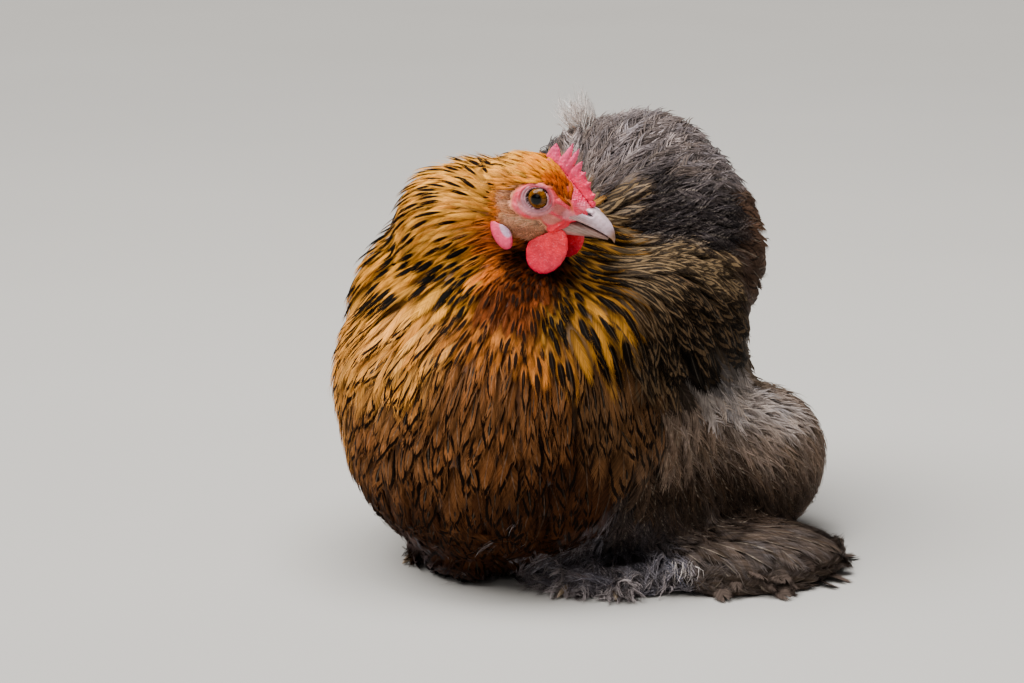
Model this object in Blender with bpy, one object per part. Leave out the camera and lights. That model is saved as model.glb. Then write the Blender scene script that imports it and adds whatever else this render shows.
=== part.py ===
"""A bantam hen of Cochin type, crouching with her head turned to her left: a life-size still model.

Metres, +Z up, floor at z = 0. The breast faces -Y and the hen's left side is +X. The soft body is modelled
whole, as the outer surface of the plumage, and then parted into neck, trunk, tail, wings and legs by thin
cuts. The head, bill, eyes, comb, wattles, earlobes, feet and claws are solids of their own.
"""

import math
from collections import namedtuple

import bmesh
import bpy
from mathutils import Euler, Matrix, Vector

MM = 0.001
GAP = 0.0003  # clearance between pieces that meet

# Plumage of the body: egg-shaped lumps that a voxel skin joins. Radii are half-sizes along X, Y and Z.
Lump = namedtuple("Lump", "centre radii")
TRUNK = Lump((0.0, -0.005, 0.068), (0.0835, 0.099, 0.0725))
BREAST = Lump((0.0, -0.040, 0.062), (0.071, 0.066, 0.064))
CAPE = Lump((-0.004, -0.038, 0.078), (0.076, 0.067, 0.048))
THROAT = Lump((-0.006, -0.036, 0.100), (0.063, 0.052, 0.040))
SHOULDER_RIGHT = Lump((-0.035, -0.024, 0.104), (0.045, 0.045, 0.042))  # bunched by the turn of the head
SHOULDER_LEFT = Lump((0.038, -0.012, 0.092), (0.040, 0.044, 0.036))
NECK_LOW = Lump((-0.018, -0.013, 0.117), (0.059, 0.046, 0.046))
NECK_HIGH = Lump((-0.018, -0.036, 0.144), (0.032, 0.036, 0.0275))
NAPE = Lump((-0.001, -0.041, 0.156), (0.023, 0.020, 0.019))
CUSHION = Lump((0.0, 0.058, 0.117), (0.061, 0.060, 0.059))
TAIL = Lump((0.0, 0.076, 0.136), (0.037, 0.036, 0.044))
REAR_FLUFF = Lump((0.0, 0.064, 0.062), (0.054, 0.056, 0.058))
WING = Lump((0.055, 0.000, 0.097), (0.026, 0.062, 0.036))
FLANK = Lump((0.050, 0.008, 0.034), (0.036, 0.052, 0.031))
THIGH = Lump((0.067, 0.050, 0.034), (0.034, 0.044, 0.036))
BODY_LUMPS = (
    TRUNK, BREAST, CAPE, THROAT, SHOULDER_RIGHT, SHOULDER_LEFT, NECK_LOW, NECK_HIGH, NAPE, CUSHION, TAIL, REAR_FLUFF,
)
PAIRED_LUMPS = (WING, FLANK, THIGH)
BODY_VOXEL = 0.004
BODY_SMOOTHING = 10
EGG_DETAIL = 4  # subdivisions of a lump
CUTTER_DETAIL = 3
PAD_DETAIL = 2
BODY_TRIANGLES = 1500

# Where the body is parted. Each region is the inside of an egg.
NECK_REGION = Lump((0.004, -0.052, 0.150), (0.068, 0.062, 0.056))
WING_REGION = Lump((0.078, 0.008, 0.100), (0.034, 0.068, 0.036))
TAIL_REGION = Lump((0.0, 0.110, 0.165), (0.060, 0.060, 0.058))
LEG_REGION = Lump((0.084, 0.036, 0.020), (0.050, 0.080, 0.056))

# The head, in its own frame: forward along the bill, left and up.
HEAD_CENTRE = Vector((0.0277, -0.0427, 0.1607))
HEAD_YAW = math.radians(95)  # turned from the breast's heading to the hen's left
HEAD_PITCH = math.radians(11)  # bill down
HEAD_SIDES = 20
HEAD_STEPS = 15
HEAD_SQUARENESS = 0.92  # below 1 the rings are fuller than ellipses
# forward, top, bottom, half-width, in millimetres
HeadRing = namedtuple("HeadRing", "forward top bottom half_width")
HEAD_RINGS = (
    HeadRing(-27.0, 5.0, -15.0, 8.0),
    HeadRing(-22.0, 11.5, -21.5, 12.5),
    HeadRing(-14.0, 14.8, -26.0, 14.2),
    HeadRing(-5.0, 15.6, -24.5, 13.0),
    HeadRing(2.0, 13.4, -19.5, 11.2),
    HeadRing(8.0, 9.4, -14.2, 8.6),
    HeadRing(12.0, 6.6, -8.2, 6.8),
    HeadRing(16.0, 3.6, -5.2, 5.2),
    HeadRing(19.0, 1.0, -3.6, 3.6),
)
EYE_RADIUS = 5.2
EYE_PLACE = (-0.7, 0.8)  # forward and up
EYE_OUT = 8.7  # from the head's middle plane to an eye's centre

# Bill, in the head's frame and millimetres: forward, top, bottom, half-width.
UPPER_BILL = (
    HeadRing(9.0, -4.4, -5.9, 6.9),
    HeadRing(12.5, -1.6, -6.0, 6.1),
    HeadRing(16.0, 0.6, -6.3, 5.1),
    HeadRing(20.5, 0.6, -6.9, 4.3),
    HeadRing(24.5, -0.9, -7.7, 3.5),
    HeadRing(27.8, -3.0, -8.6, 2.6),
    HeadRing(30.2, -5.5, -9.6, 1.5),
    HeadRing(31.6, -8.4, -10.9, 0.5),
)
LOWER_BILL = (
    HeadRing(8.0, -6.5, -13.2, 6.6),
    HeadRing(12.0, -6.7, -12.8, 5.8),
    HeadRing(16.0, -7.0, -12.1, 4.6),
    HeadRing(21.0, -7.7, -11.1, 3.4),
    HeadRing(25.5, -8.5, -10.6, 2.3),
    HeadRing(28.4, -9.3, -10.3, 0.9),
)
BILL_SIDES = 12
BILL_STEPS = 10
BILL_SQUARENESS = 0.85
TRIMMED_BY_BILL = {"comb": ["beak_upper"], "wattle_left": ["beak_lower"], "wattle_right": ["beak_lower"]}
CLEAR_OF_NECK = ("comb", "beak_upper")  # pieces of the head that no neck plumage reaches

# Comb: a blade along the forehead and crown with points that fan out from inside the skull.
CombPoint = namedtuple("CombPoint", "forward up width height valley")  # valley: share of its lower neighbour
COMB_POINTS = (
    CombPoint(18.8, 2.4, 3.2, 1.6, 0.60),
    CombPoint(16.7, 4.5, 3.8, 3.3, 0.80),
    CombPoint(13.2, 7.5, 3.8, 4.6, 0.82),
    CombPoint(10.2, 9.8, 3.4, 5.6, 0.80),
    CombPoint(7.6, 11.4, 3.4, 7.7, 0.72),
    CombPoint(5.1, 12.5, 2.9, 11.2, 0.35),
    CombPoint(3.1, 13.5, 3.0, 11.4, 0.38),
    CombPoint(-1.9, 14.5, 6.2, 7.7, 0.32),
)
COMB_SECTION = ((0.02, 1.9), (0.45, 1.6), (0.8, 1.15), (0.96, 0.7), (1.0, 0.0))  # share of height, half-width
COMB_DEPTH = 4.0  # how far the blade reaches into the skull before it is cut
COMB_END = 0.35  # height of the blade's rear end as a share of its last point
COMB_SHOULDER = 0.22
COMB_SHOULDER_HEIGHT = 0.74
COMB_FAN_CENTRE = (-1.0, -6.0)

# Wattles and earlobes: flat drops that hang from the jaw. Sizes are half-sizes forward, up and out.
Drop = namedtuple("Drop", "forward up out half_sizes roll")
WATTLES = {  # the head is tilted a little, so the left one hangs higher
    "right": Drop(6.1, -19.4, 8.0, (9.0, 11.0, 1.9), 18),
    "left": Drop(5.8, -16.0, 8.0, (8.6, 10.6, 1.9), 17),
}
EARLOBE = Drop(-13.2, -17.4, 12.8, (4.3, 7.8, 2.4), -50)
DROP_SPREAD = 11  # degrees that a wattle's or an earlobe's lower end stands out

# Feet, in metres: a low fan of foot feathers, fluff over the front of the foot, three front toes and a hind toe.
# The left foot is set out to the side and the right foot is drawn in under the breast.
PAD_RADII = (0.008, 0.010, 0.0055)
Foot = namedtuple("Foot", "side pad heading fan fan_turn fluff fluff_turn")
FEET = {
    "left": Foot(
        1, (0.046, -0.022), 4,
        Lump((0.084, 0.004, -0.001), (0.055, 0.041, 0.022)), 47,
        Lump((0.060, -0.040, -0.001), (0.044, 0.020, 0.014)), 33,
    ),
    "right": Foot(
        -1, (-0.022, -0.026), -20,
        Lump((-0.038, -0.012, -0.001), (0.034, 0.027, 0.019)), -45,
        Lump((-0.012, -0.056, -0.001), (0.036, 0.021, 0.013)), -34,
    ),
}
Toe = namedtuple("Toe", "name turn length")
TOES = (Toe("inner", -30, 0.030), Toe("middle", 0, 0.039), Toe("outer", 30, 0.036), Toe("hind", 222, 0.026))
TOE_RADIUS = 0.0037
TOE_TAPER = 0.30
TOE_SINK = 0.92  # height of a toe's middle line as a share of its radius, so that its sole is cut flat
TOE_STEPS = 4
ANKLE_RISE = 0.0022
CLAW_LENGTH = 0.0085
CLAW_RADIUS = 0.0021
CLAW_TIP = 0.0003  # radius
CLAW_TIP_HEIGHT = 0.0006
CLAW_ARCH = 0.0006
TUBE_SIDES = 8

COLOURS = {
    "gold_hackle": (0.55, 0.27, 0.06),
    "gold_breast": (0.42, 0.20, 0.05),
    "brown_plumage": (0.13, 0.09, 0.055),
    "grey_fluff": (0.20, 0.17, 0.145),
    "red_skin": (0.60, 0.05, 0.05),
    "face_skin": (0.52, 0.22, 0.15),
    "horn": (0.46, 0.37, 0.30),
    "eye": (0.30, 0.14, 0.02),
}
ROUGHNESS = {"red_skin": 0.5, "face_skin": 0.6, "horn": 0.4, "eye": 0.1}


def clear_scene():
    """Removes whatever the file opened with."""
    for obj in list(bpy.data.objects):
        bpy.data.objects.remove(obj)


def make_material(name):
    """A Principled material in one of the hen's colours."""
    made = bpy.data.materials.new(name)
    made.use_nodes = True
    shader = made.node_tree.nodes["Principled BSDF"]
    shader.inputs["Base Color"].default_value = (*COLOURS[name], 1.0)
    shader.inputs["Roughness"].default_value = ROUGHNESS.get(name, 0.8)
    shader.inputs["Metallic"].default_value = 0.0
    return made


def add_object(name, mesh, material=None):
    """Links a mesh as an object, which is a cutter if it has no material."""
    obj = bpy.data.objects.new(name, mesh)
    bpy.context.scene.collection.objects.link(obj)
    if material is None:
        obj.hide_render = True
        obj.display_type = "WIRE"
    else:
        mesh.materials.append(bpy.data.materials[material])
        mesh.shade_smooth()
    return obj


def mesh_from(bm, name):
    """Turns a bmesh into a mesh with its faces pointing out."""
    bmesh.ops.recalc_face_normals(bm, faces=bm.faces)
    mesh = bpy.data.meshes.new(name)
    bm.to_mesh(mesh)
    bm.free()
    return mesh


def mirrored(lump, side):
    """A lump on the hen's left for side 1, and on her right for side -1."""
    x, y, z = lump.centre
    return Lump((side * x, y, z), lump.radii)


def add_egg(bm, lump, grow=0.0, turn=(0.0, 0.0, 0.0), detail=EGG_DETAIL):
    """Adds an ellipsoid to a bmesh."""
    radii = Vector(lump.radii) + Vector((grow, grow, grow))
    place = Matrix.LocRotScale(Vector(lump.centre), Euler(turn), radii)
    bmesh.ops.create_icosphere(bm, subdivisions=detail, radius=1.0, matrix=place)


def egg_cutter(name, lump, grow=0.0):
    """A hidden ellipsoid for a Boolean."""
    bm = bmesh.new()
    add_egg(bm, lump, grow, detail=CUTTER_DETAIL)
    return add_object(name, mesh_from(bm, name))


def add_boolean(obj, operation, cutter):
    """Adds an exact Boolean modifier."""
    modifier = obj.modifiers.new(f"{operation.lower()}_{cutter.name}", "BOOLEAN")
    modifier.operation = operation
    modifier.object = cutter
    modifier.solver = "EXACT"


def evaluated_mesh(obj, name):
    """The object's mesh with its modifiers worked out."""
    graph = bpy.context.evaluated_depsgraph_get()
    return bpy.data.meshes.new_from_object(obj.evaluated_get(graph), depsgraph=graph)


def grown_cutter(source):
    """A hidden copy of an object's mesh as it was before any cut, larger by the gap all round."""
    copy = add_object(f"cut_around_{source.name}", source.data.copy())
    swell = copy.modifiers.new("swell", "DISPLACE")
    swell.strength = GAP
    swell.mid_level = 0.0
    return copy


def floor_cutter():
    """A hidden slab below the floor, which gives all that rests there a flat at z = 0."""
    bm = bmesh.new()
    bmesh.ops.create_cube(bm, size=1.0, matrix=Matrix.Translation((0, 0, -0.5)))
    return add_object("cut_floor", mesh_from(bm, "cut_floor"))


def body_mesh():
    """The outer surface of the body's plumage: lumps joined by a voxel skin, smoothed and thinned."""
    bm = bmesh.new()
    for lump in BODY_LUMPS:
        add_egg(bm, lump)
    for lump in PAIRED_LUMPS:
        for side in (1, -1):
            add_egg(bm, mirrored(lump, side))
    obj = add_object("guide_body", mesh_from(bm, "guide_body"))
    skin = obj.modifiers.new("skin", "REMESH")
    skin.mode = "VOXEL"
    skin.voxel_size = BODY_VOXEL
    smooth = obj.modifiers.new("smooth", "SMOOTH")
    smooth.factor = 0.5
    smooth.iterations = BODY_SMOOTHING
    faces = len(evaluated_mesh(obj, "count").polygons)
    thin = obj.modifiers.new("thin", "DECIMATE")
    thin.ratio = BODY_TRIANGLES / (2 * faces)
    mesh = evaluated_mesh(obj, "body")
    bpy.data.objects.remove(obj)
    return mesh


def smooth_value(stations, at, field):
    """Reads one column of a list of rings at a forward position, along a Catmull-Rom curve."""
    place = [ring.forward for ring in stations]
    value = [getattr(ring, field) for ring in stations]
    last = len(place) - 1
    i = max(0, min(last - 1, sum(p <= at for p in place) - 1))
    t = (at - place[i]) / (place[i + 1] - place[i])

    def slope(k):
        low, high = max(0, k - 1), min(last, k + 1)
        return (value[high] - value[low]) / (place[high] - place[low])

    span = place[i + 1] - place[i]
    h = t * t * (3 - 2 * t)
    bend = span * (t * (1 - t) ** 2 * slope(i) - t * t * (1 - t) * slope(i + 1))
    return value[i] + (value[i + 1] - value[i]) * h + bend


def head_to_world():
    """The matrix from the head's frame in metres (forward, left, up) to the world."""
    turn = Matrix.Rotation(HEAD_YAW - math.pi / 2, 4, "Z") @ Matrix.Rotation(HEAD_PITCH, 4, "Y")
    return Matrix.Translation(HEAD_CENTRE) @ turn


def loft(name, stations, steps, sides, squareness, material=None):
    """Closed body through egg-shaped rings along the head's forward axis."""
    bm = bmesh.new()
    first, last = stations[0].forward, stations[-1].forward
    rings = []
    for step in range(steps + 1):
        at = first + (last - first) * step / steps
        top = smooth_value(stations, at, "top")
        bottom = smooth_value(stations, at, "bottom")
        half_width = smooth_value(stations, at, "half_width")
        middle, half = (top + bottom) / 2, (top - bottom) / 2
        ring = []
        for k in range(sides):
            angle = 2 * math.pi * k / sides
            out, up = math.sin(angle), math.cos(angle)
            out = math.copysign(abs(out) ** squareness, out)
            up = math.copysign(abs(up) ** squareness, up)
            ring.append(bm.verts.new(Vector((at, out * half_width, middle + up * half)) * MM))
        rings.append(ring)
    for low, high in zip(rings, rings[1:]):
        for k in range(sides):
            following = (k + 1) % sides
            bm.faces.new((low[k], low[following], high[following], high[k]))
    bm.faces.new(rings[0][::-1])
    bm.faces.new(rings[-1])
    bmesh.ops.triangulate(bm, faces=bm.faces)
    bmesh.ops.transform(bm, matrix=head_to_world(), verts=bm.verts)
    return add_object(name, mesh_from(bm, name), material)


def build_eye(name, side):
    """One eyeball."""
    bm = bmesh.new()
    place = head_to_world() @ Matrix.Translation(Vector((EYE_PLACE[0], -side * EYE_OUT, EYE_PLACE[1])) * MM)
    bmesh.ops.create_uvsphere(bm, u_segments=16, v_segments=10, radius=EYE_RADIUS * MM, matrix=place)
    return add_object(name, mesh_from(bm, name), "eye")


def comb_stations():
    """The comb cut across at each point's valley, shoulders and peak: (angle, root radius, height)."""
    polar = []
    for point in COMB_POINTS:
        forward, up = point.forward - COMB_FAN_CENTRE[0], point.up - COMB_FAN_CENTRE[1]
        radius = math.hypot(forward, up)
        polar.append((math.atan2(up, forward), radius, point.height, point.width / radius))
    for i, (angle, radius, height, width) in enumerate(polar):
        valley = COMB_POINTS[i].valley * (height if i == 0 else min(height, polar[i - 1][2]))
        edge = angle - width / 2 if i == 0 else (polar[i - 1][0] + angle) / 2
        yield edge, radius, valley
        yield angle - width * COMB_SHOULDER, radius, height * COMB_SHOULDER_HEIGHT
        yield angle, radius, height
        yield angle + width * COMB_SHOULDER, radius, height * COMB_SHOULDER_HEIGHT
    yield angle + width / 2, radius, height * COMB_END


def build_comb():
    """The comb: a blade of wedge-shaped sections that fan out from inside the skull."""
    bm = bmesh.new()
    rings = []
    for angle, radius, height in comb_stations():
        away = Vector((math.cos(angle), 0.0, math.sin(angle)))
        centre = Vector((COMB_FAN_CENTRE[0], 0.0, COMB_FAN_CENTRE[1]))
        ring = []
        for share, half in COMB_SECTION:
            reach = radius - COMB_DEPTH + (height + COMB_DEPTH) * share
            for side in (1, -1) if half else (0,):
                ring.append((share * (side or 1), centre + away * reach + Vector((0, side * half, 0))))
        left = [place for key, place in ring if key >= 0]
        right = [place for key, place in ring if key < 0]
        rings.append([bm.verts.new(place * MM) for place in left + right[::-1]])
    for low, high in zip(rings, rings[1:]):
        for k in range(len(low)):
            following = (k + 1) % len(low)
            bm.faces.new((low[k], low[following], high[following], high[k]))
    bm.faces.new(rings[0][::-1])
    bm.faces.new(rings[-1])
    bmesh.ops.triangulate(bm, faces=bm.faces)
    bmesh.ops.transform(bm, matrix=head_to_world(), verts=bm.verts)
    return add_object("comb", mesh_from(bm, "comb"), "red_skin")


def build_drop(name, drop, side):
    """A wattle or an earlobe: a flat egg that hangs beside the jaw."""
    bm = bmesh.new()
    size = Matrix.Diagonal((*Vector(drop.half_sizes).xzy * MM, 1.0))
    bmesh.ops.create_uvsphere(bm, u_segments=16, v_segments=9, radius=1.0, matrix=size)
    place = Matrix.Translation(Vector((drop.forward, -side * drop.out, drop.up)) * MM)
    lean = Matrix.Rotation(math.radians(drop.roll), 4, "Y") @ Matrix.Rotation(-side * math.radians(DROP_SPREAD), 4, "X")
    bmesh.ops.transform(bm, matrix=head_to_world() @ place @ lean, verts=bm.verts)
    return add_object(name, mesh_from(bm, name), "red_skin")


def toe_frame(toe, foot):
    """A toe's root and its direction on the floor."""
    angle = math.radians(foot.heading + toe.turn)
    direction = Vector((foot.side * math.sin(angle), -math.cos(angle), 0.0))
    return Vector((*foot.pad, 0.0)), direction


def toe_path(toe, foot):
    """Points and radii of a toe from the ball of the foot to the claw."""
    root, direction = toe_frame(toe, foot)
    for step in range(TOE_STEPS + 1):
        t = step / TOE_STEPS
        radius = TOE_RADIUS * (1.0 - TOE_TAPER * t)
        height = radius * TOE_SINK + ANKLE_RISE * (1 - t) ** 2
        yield root + direction * toe.length * t + Vector((0, 0, height)), radius


def claw_path(toe, foot):
    """Points and radii of a claw, which arches from the toe's end down to the floor."""
    (root, _), (end, _) = list(toe_path(toe, foot))[-2:]
    direction = (end - root).normalized()
    for step in range(TOE_STEPS + 1):
        t = step / TOE_STEPS
        height = end.z + CLAW_ARCH * math.sin(math.pi * t) - (end.z - CLAW_TIP_HEIGHT) * t * t
        place = end + direction * (2 * GAP + CLAW_LENGTH * t)
        yield Vector((place.x, place.y, height)), CLAW_RADIUS * (1 - t) ** 0.7 + CLAW_TIP


def add_tube(bm, path, grow=0.0):
    """Adds a closed tapering tube through (point, radius) pairs, with round ends."""
    path = list(path)
    rings = []
    for i, (point, radius) in enumerate(path):
        ahead = path[min(i + 1, len(path) - 1)][0] - path[max(i - 1, 0)][0]
        turn = ahead.to_track_quat("Z", "X").to_matrix()
        ring = []
        for k in range(TUBE_SIDES):
            angle = 2 * math.pi * k / TUBE_SIDES
            out = turn @ Vector((math.cos(angle), math.sin(angle), 0))
            ring.append(bm.verts.new(point + out * (radius + grow)))
        rings.append(ring)
    for low, high in zip(rings, rings[1:]):
        for k in range(TUBE_SIDES):
            following = (k + 1) % TUBE_SIDES
            bm.faces.new((low[k], low[following], high[following], high[k]))
    bm.faces.new(rings[0][::-1])
    bm.faces.new(rings[-1])


def build_foot(name, foot, floor, grow=0.0, material=None):
    """The feathered foot: fan and sole with the toes joined on, cut flat at the floor."""

    def solid(label, add, stuff=None):
        bm = bmesh.new()
        add(bm)
        return add_object(label, mesh_from(bm, label), stuff)

    turn = (0.0, 0.0, math.radians(foot.fan_turn))
    fan = solid(name, lambda bm: add_egg(bm, foot.fan, grow, turn, CUTTER_DETAIL), material)
    fluff_turn = (0.0, 0.0, math.radians(foot.fluff_turn))
    fluff = solid(f"cut_fluff_{name}", lambda bm: add_egg(bm, foot.fluff, grow, fluff_turn, CUTTER_DETAIL))
    add_boolean(fan, "UNION", fluff)
    pad = Lump((*foot.pad, PAD_RADII[2]), PAD_RADII)
    add_boolean(fan, "UNION", solid(f"cut_pad_{name}", lambda bm: add_egg(bm, pad, grow, detail=PAD_DETAIL)))
    for toe in TOES:
        shape = solid(f"cut_{toe.name}_{name}", lambda bm: add_tube(bm, toe_path(toe, foot), grow))
        add_boolean(fan, "UNION", shape)
    for toe in TOES:
        reach = GAP if material else grow
        claw = solid(f"cut_claw_{toe.name}_{name}", lambda bm: add_tube(bm, claw_path(toe, foot), reach))
        add_boolean(fan, "DIFFERENCE" if material else "UNION", claw)
    if material is not None:
        add_boolean(fan, "DIFFERENCE", floor)
    return fan


def build_claw(name, toe, foot, floor):
    """One claw at the end of a toe."""
    bm = bmesh.new()
    add_tube(bm, claw_path(toe, foot))
    claw = add_object(name, mesh_from(bm, name), "horn")
    add_boolean(claw, "DIFFERENCE", floor)


def build_head():
    """Head with its eyes, bill, comb, wattles and earlobes. Returns cutters that clear all but the eyes."""
    head = loft("head", HEAD_RINGS, HEAD_STEPS, HEAD_SIDES, HEAD_SQUARENESS, "face_skin")
    around_head = grown_cutter(head)
    trimmed = [build_comb()]
    for side, label in ((1, "right"), (-1, "left")):
        eye = build_eye(f"eye_{label}", side)
        add_boolean(head, "DIFFERENCE", grown_cutter(eye))
        for name, drop in (("wattle", WATTLES[label]), ("earlobe", EARLOBE)):
            trimmed.append(build_drop(f"{name}_{label}", drop, side))
    for name, rings in (("beak_upper", UPPER_BILL), ("beak_lower", LOWER_BILL)):
        trimmed.append(loft(name, rings, BILL_STEPS, BILL_SIDES, BILL_SQUARENESS, "horn"))
    around = {piece.name: grown_cutter(piece) for piece in trimmed}
    for piece in trimmed:
        add_boolean(piece, "DIFFERENCE", around_head)
        for bill in TRIMMED_BY_BILL.get(piece.name, ()):
            add_boolean(piece, "DIFFERENCE", around[bill])
    return [around_head, *(around[name] for name in around if name not in CLEAR_OF_NECK)]


def region_cutters(name, lump, sides=(None,)):
    """For each side, a region's cutter and the same grown by the gap, for its neighbours."""
    made = []
    for side in sides:
        here = lump if side is None else mirrored(lump, side)
        label = {None: "", 1: "_left", -1: "_right"}[side]
        made.append((egg_cutter(f"cut_{name}{label}", here), egg_cutter(f"cut_around_{name}{label}", here, GAP)))
    return made


def part_body(mesh, around_face, around_feet, floor):
    """Parts the body's mesh into its nodes, each the body inside one region and outside the others."""
    (neck, around_neck), = region_cutters("neck", NECK_REGION)
    (tail, around_tail), = region_cutters("tail", TAIL_REGION)
    wings = region_cutters("wing", WING_REGION, (1, -1))
    legs = region_cutters("leg", LEG_REGION, (1, -1))

    def node(name, material, keep, leave):
        obj = add_object(name, mesh.copy(), material)
        if keep is not None:
            add_boolean(obj, "INTERSECT", keep)
        for cutter in leave:
            add_boolean(obj, "DIFFERENCE", cutter)

    node("neck", "gold_hackle", neck, around_face)
    node("tail", "brown_plumage", tail, [around_neck])
    for (wing, around_wing), (leg, _), foot, label in zip(wings, legs, around_feet, ("left", "right")):
        node(f"wing_{label}", "brown_plumage", wing, [around_neck, around_tail])
        node(f"leg_{label}", "grey_fluff", leg, [foot, floor, around_wing])
    around = [around_neck, around_tail, *(w[1] for w in wings), *(g[1] for g in legs)]
    node("trunk", "gold_breast", None, [*around_feet, floor, *around_face, *around])


def main():
    """Builds the hen."""
    clear_scene()
    for name in COLOURS:
        make_material(name)
    floor = floor_cutter()
    around_face = build_head()
    around_feet = []
    for label, foot in FEET.items():
        build_foot(f"foot_{label}", foot, floor, material="grey_fluff")
        around_feet.append(build_foot(f"cut_around_foot_{label}", foot, floor, grow=GAP))
        for toe in TOES:
            build_claw(f"claw_{label}_{toe.name}", toe, foot, floor)
    part_body(body_mesh(), around_face, around_feet, floor)


main()
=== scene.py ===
"""The looks of a crouching bantam hen of Cochin type, life size, around the hen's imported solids.

Metres, +Z up, floor at z = 0, the breast towards -Y and the hen's left side towards +X. One skin stands
for all the flesh. Over it lies the plumage, solid feathers that Geometry Nodes lay along each root's own
curve. Eyes, bill, comb, wattles, earlobes and claws are pieces of their own.
"""

from __future__ import annotations

import logging
import math
from collections.abc import Callable, Iterable, Sequence
from dataclasses import dataclass, field
from enum import Enum
from typing import ClassVar

import bmesh
import bpy
import numpy as np
from bpy.types import Light, Material, Mesh, Node, NodeSocket, NodeTree, Object
from mathutils import Matrix, Vector
from mathutils.bvhtree import BVHTree
from mathutils.kdtree import KDTree

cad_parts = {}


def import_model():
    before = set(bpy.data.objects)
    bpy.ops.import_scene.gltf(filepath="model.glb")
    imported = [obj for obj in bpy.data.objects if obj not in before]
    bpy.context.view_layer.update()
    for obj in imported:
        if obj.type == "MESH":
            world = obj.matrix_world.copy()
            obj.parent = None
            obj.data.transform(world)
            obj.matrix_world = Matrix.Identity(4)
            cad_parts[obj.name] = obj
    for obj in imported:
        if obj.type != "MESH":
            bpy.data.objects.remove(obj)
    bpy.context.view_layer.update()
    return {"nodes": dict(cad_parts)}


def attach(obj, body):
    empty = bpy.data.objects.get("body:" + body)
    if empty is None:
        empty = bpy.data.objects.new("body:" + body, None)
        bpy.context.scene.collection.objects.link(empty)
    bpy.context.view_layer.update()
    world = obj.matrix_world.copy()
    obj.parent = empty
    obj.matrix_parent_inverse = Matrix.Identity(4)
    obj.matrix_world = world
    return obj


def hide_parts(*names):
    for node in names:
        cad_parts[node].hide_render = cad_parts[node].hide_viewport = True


LOG = logging.getLogger("hen")
MM = 0.001
SEED = 11
BAKE_MAP = "OFBake"
BAKE_PATCH = 0.003  # side of the patch of the skin's unwrap that stands for one feather
VANE_MAP = "Vane"
LUMA = (0.2126, 0.7152, 0.0722)
SATURATION = 1.18  # how much stronger the linear colours are than the screen's
DARKEST, BRIGHTEST = 0.0008, 0.95
BLOT_EDGE = (1.18, 0.82)  # where a blot starts and where it is full, in shares of its radii
SIDE = [0, 2]  # the columns forward and up, which show the head from the side
UP = np.array((0.0, 0.0, 1.0))

Rgb = tuple[float, float, float]
Array = np.ndarray
Outputs = Sequence[NodeSocket]
Outline = tuple[tuple[float, float], ...]


def paint(red: float, green: float, blue: float) -> Rgb:
    """A colour as a screen shows it, 0 to 255, made linear.

    Args:
        red, green, blue: The screen values.

    Returns:
        The linear colour, a little more saturated than the screen shows it.
    """
    screen = (red, green, blue)
    linear = np.array([((v / 255 + 0.055) / 1.055) ** 2.4 if v > 10 else v / 3300 for v in screen])
    grey = float(linear @ LUMA)
    return tuple(float(v) for v in np.clip(grey + (linear - grey) * SATURATION, DARKEST, BRIGHTEST))


def ease(value: Array, low: float, high: float) -> Array:
    """Smooth step from 0 at low to 1 at high, which may be the lower number."""
    t = np.clip((value - low) / (high - low), 0.0, 1.0)
    return t * t * (3.0 - 2.0 * t)


def bell(value: Array, centre: float, width: float) -> Array:
    """1 at the centre, falling away smoothly over the width."""
    return np.exp(-(((value - centre) / width) ** 2))


def unit(vectors: Array) -> Array:
    """Each row scaled to length one."""
    return vectors / np.maximum(np.linalg.norm(vectors, axis=-1, keepdims=True), 1e-9)


def turned(x: Array, y: Array, degrees: float) -> tuple[Array, Array]:
    """Plane coordinates along and across a direction turned anticlockwise by degrees."""
    angle = math.radians(degrees)
    return x * math.cos(angle) + y * math.sin(angle), -x * math.sin(angle) + y * math.cos(angle)


def blot(points: Array, centre: Sequence[float], radii: Sequence[float], turn: float = 0) -> Array:
    """A soft oval mask in a plane.

    Args:
        points: Rows of two coordinates.
        centre: The oval's middle.
        radii: Half-sizes before it is turned.
        turn: Degrees, anticlockwise.

    Returns:
        1 well inside the oval, 0.5 on its edge and 0 well outside.
    """
    along, across = turned(*(points - np.array(centre)).T, turn)
    return ease(np.hypot(along / radii[0], across / radii[1]), *BLOT_EDGE)


def within(points: Array, radii: Sequence[float], start: float, full: float) -> Array:
    """1 inside an ellipsoid about the origin, rising between two multiples of its radii."""
    return ease(np.linalg.norm(points / radii, axis=1), start, full)


def between(low: Sequence[float], high: Sequence[float], share: Array) -> Array:
    """Rows mixed from low to high by each row's share."""
    return np.array(low) * (1 - share[:, None]) + np.array(high) * share[:, None]


def overlay(colour: Array, *layers: tuple[Array, tuple[int, int, int]]) -> Array:
    """Rows of linear colours with screen colours laid over them, each by its own mask."""
    for mask, screen in layers:
        colour = colour + (np.array(paint(*screen)) - colour) * mask[:, None]
    return colour


def opaque(colours: Array) -> Array:
    """Rows of colours with an alpha of 1."""
    return np.column_stack([colours, np.ones(len(colours))])


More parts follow.
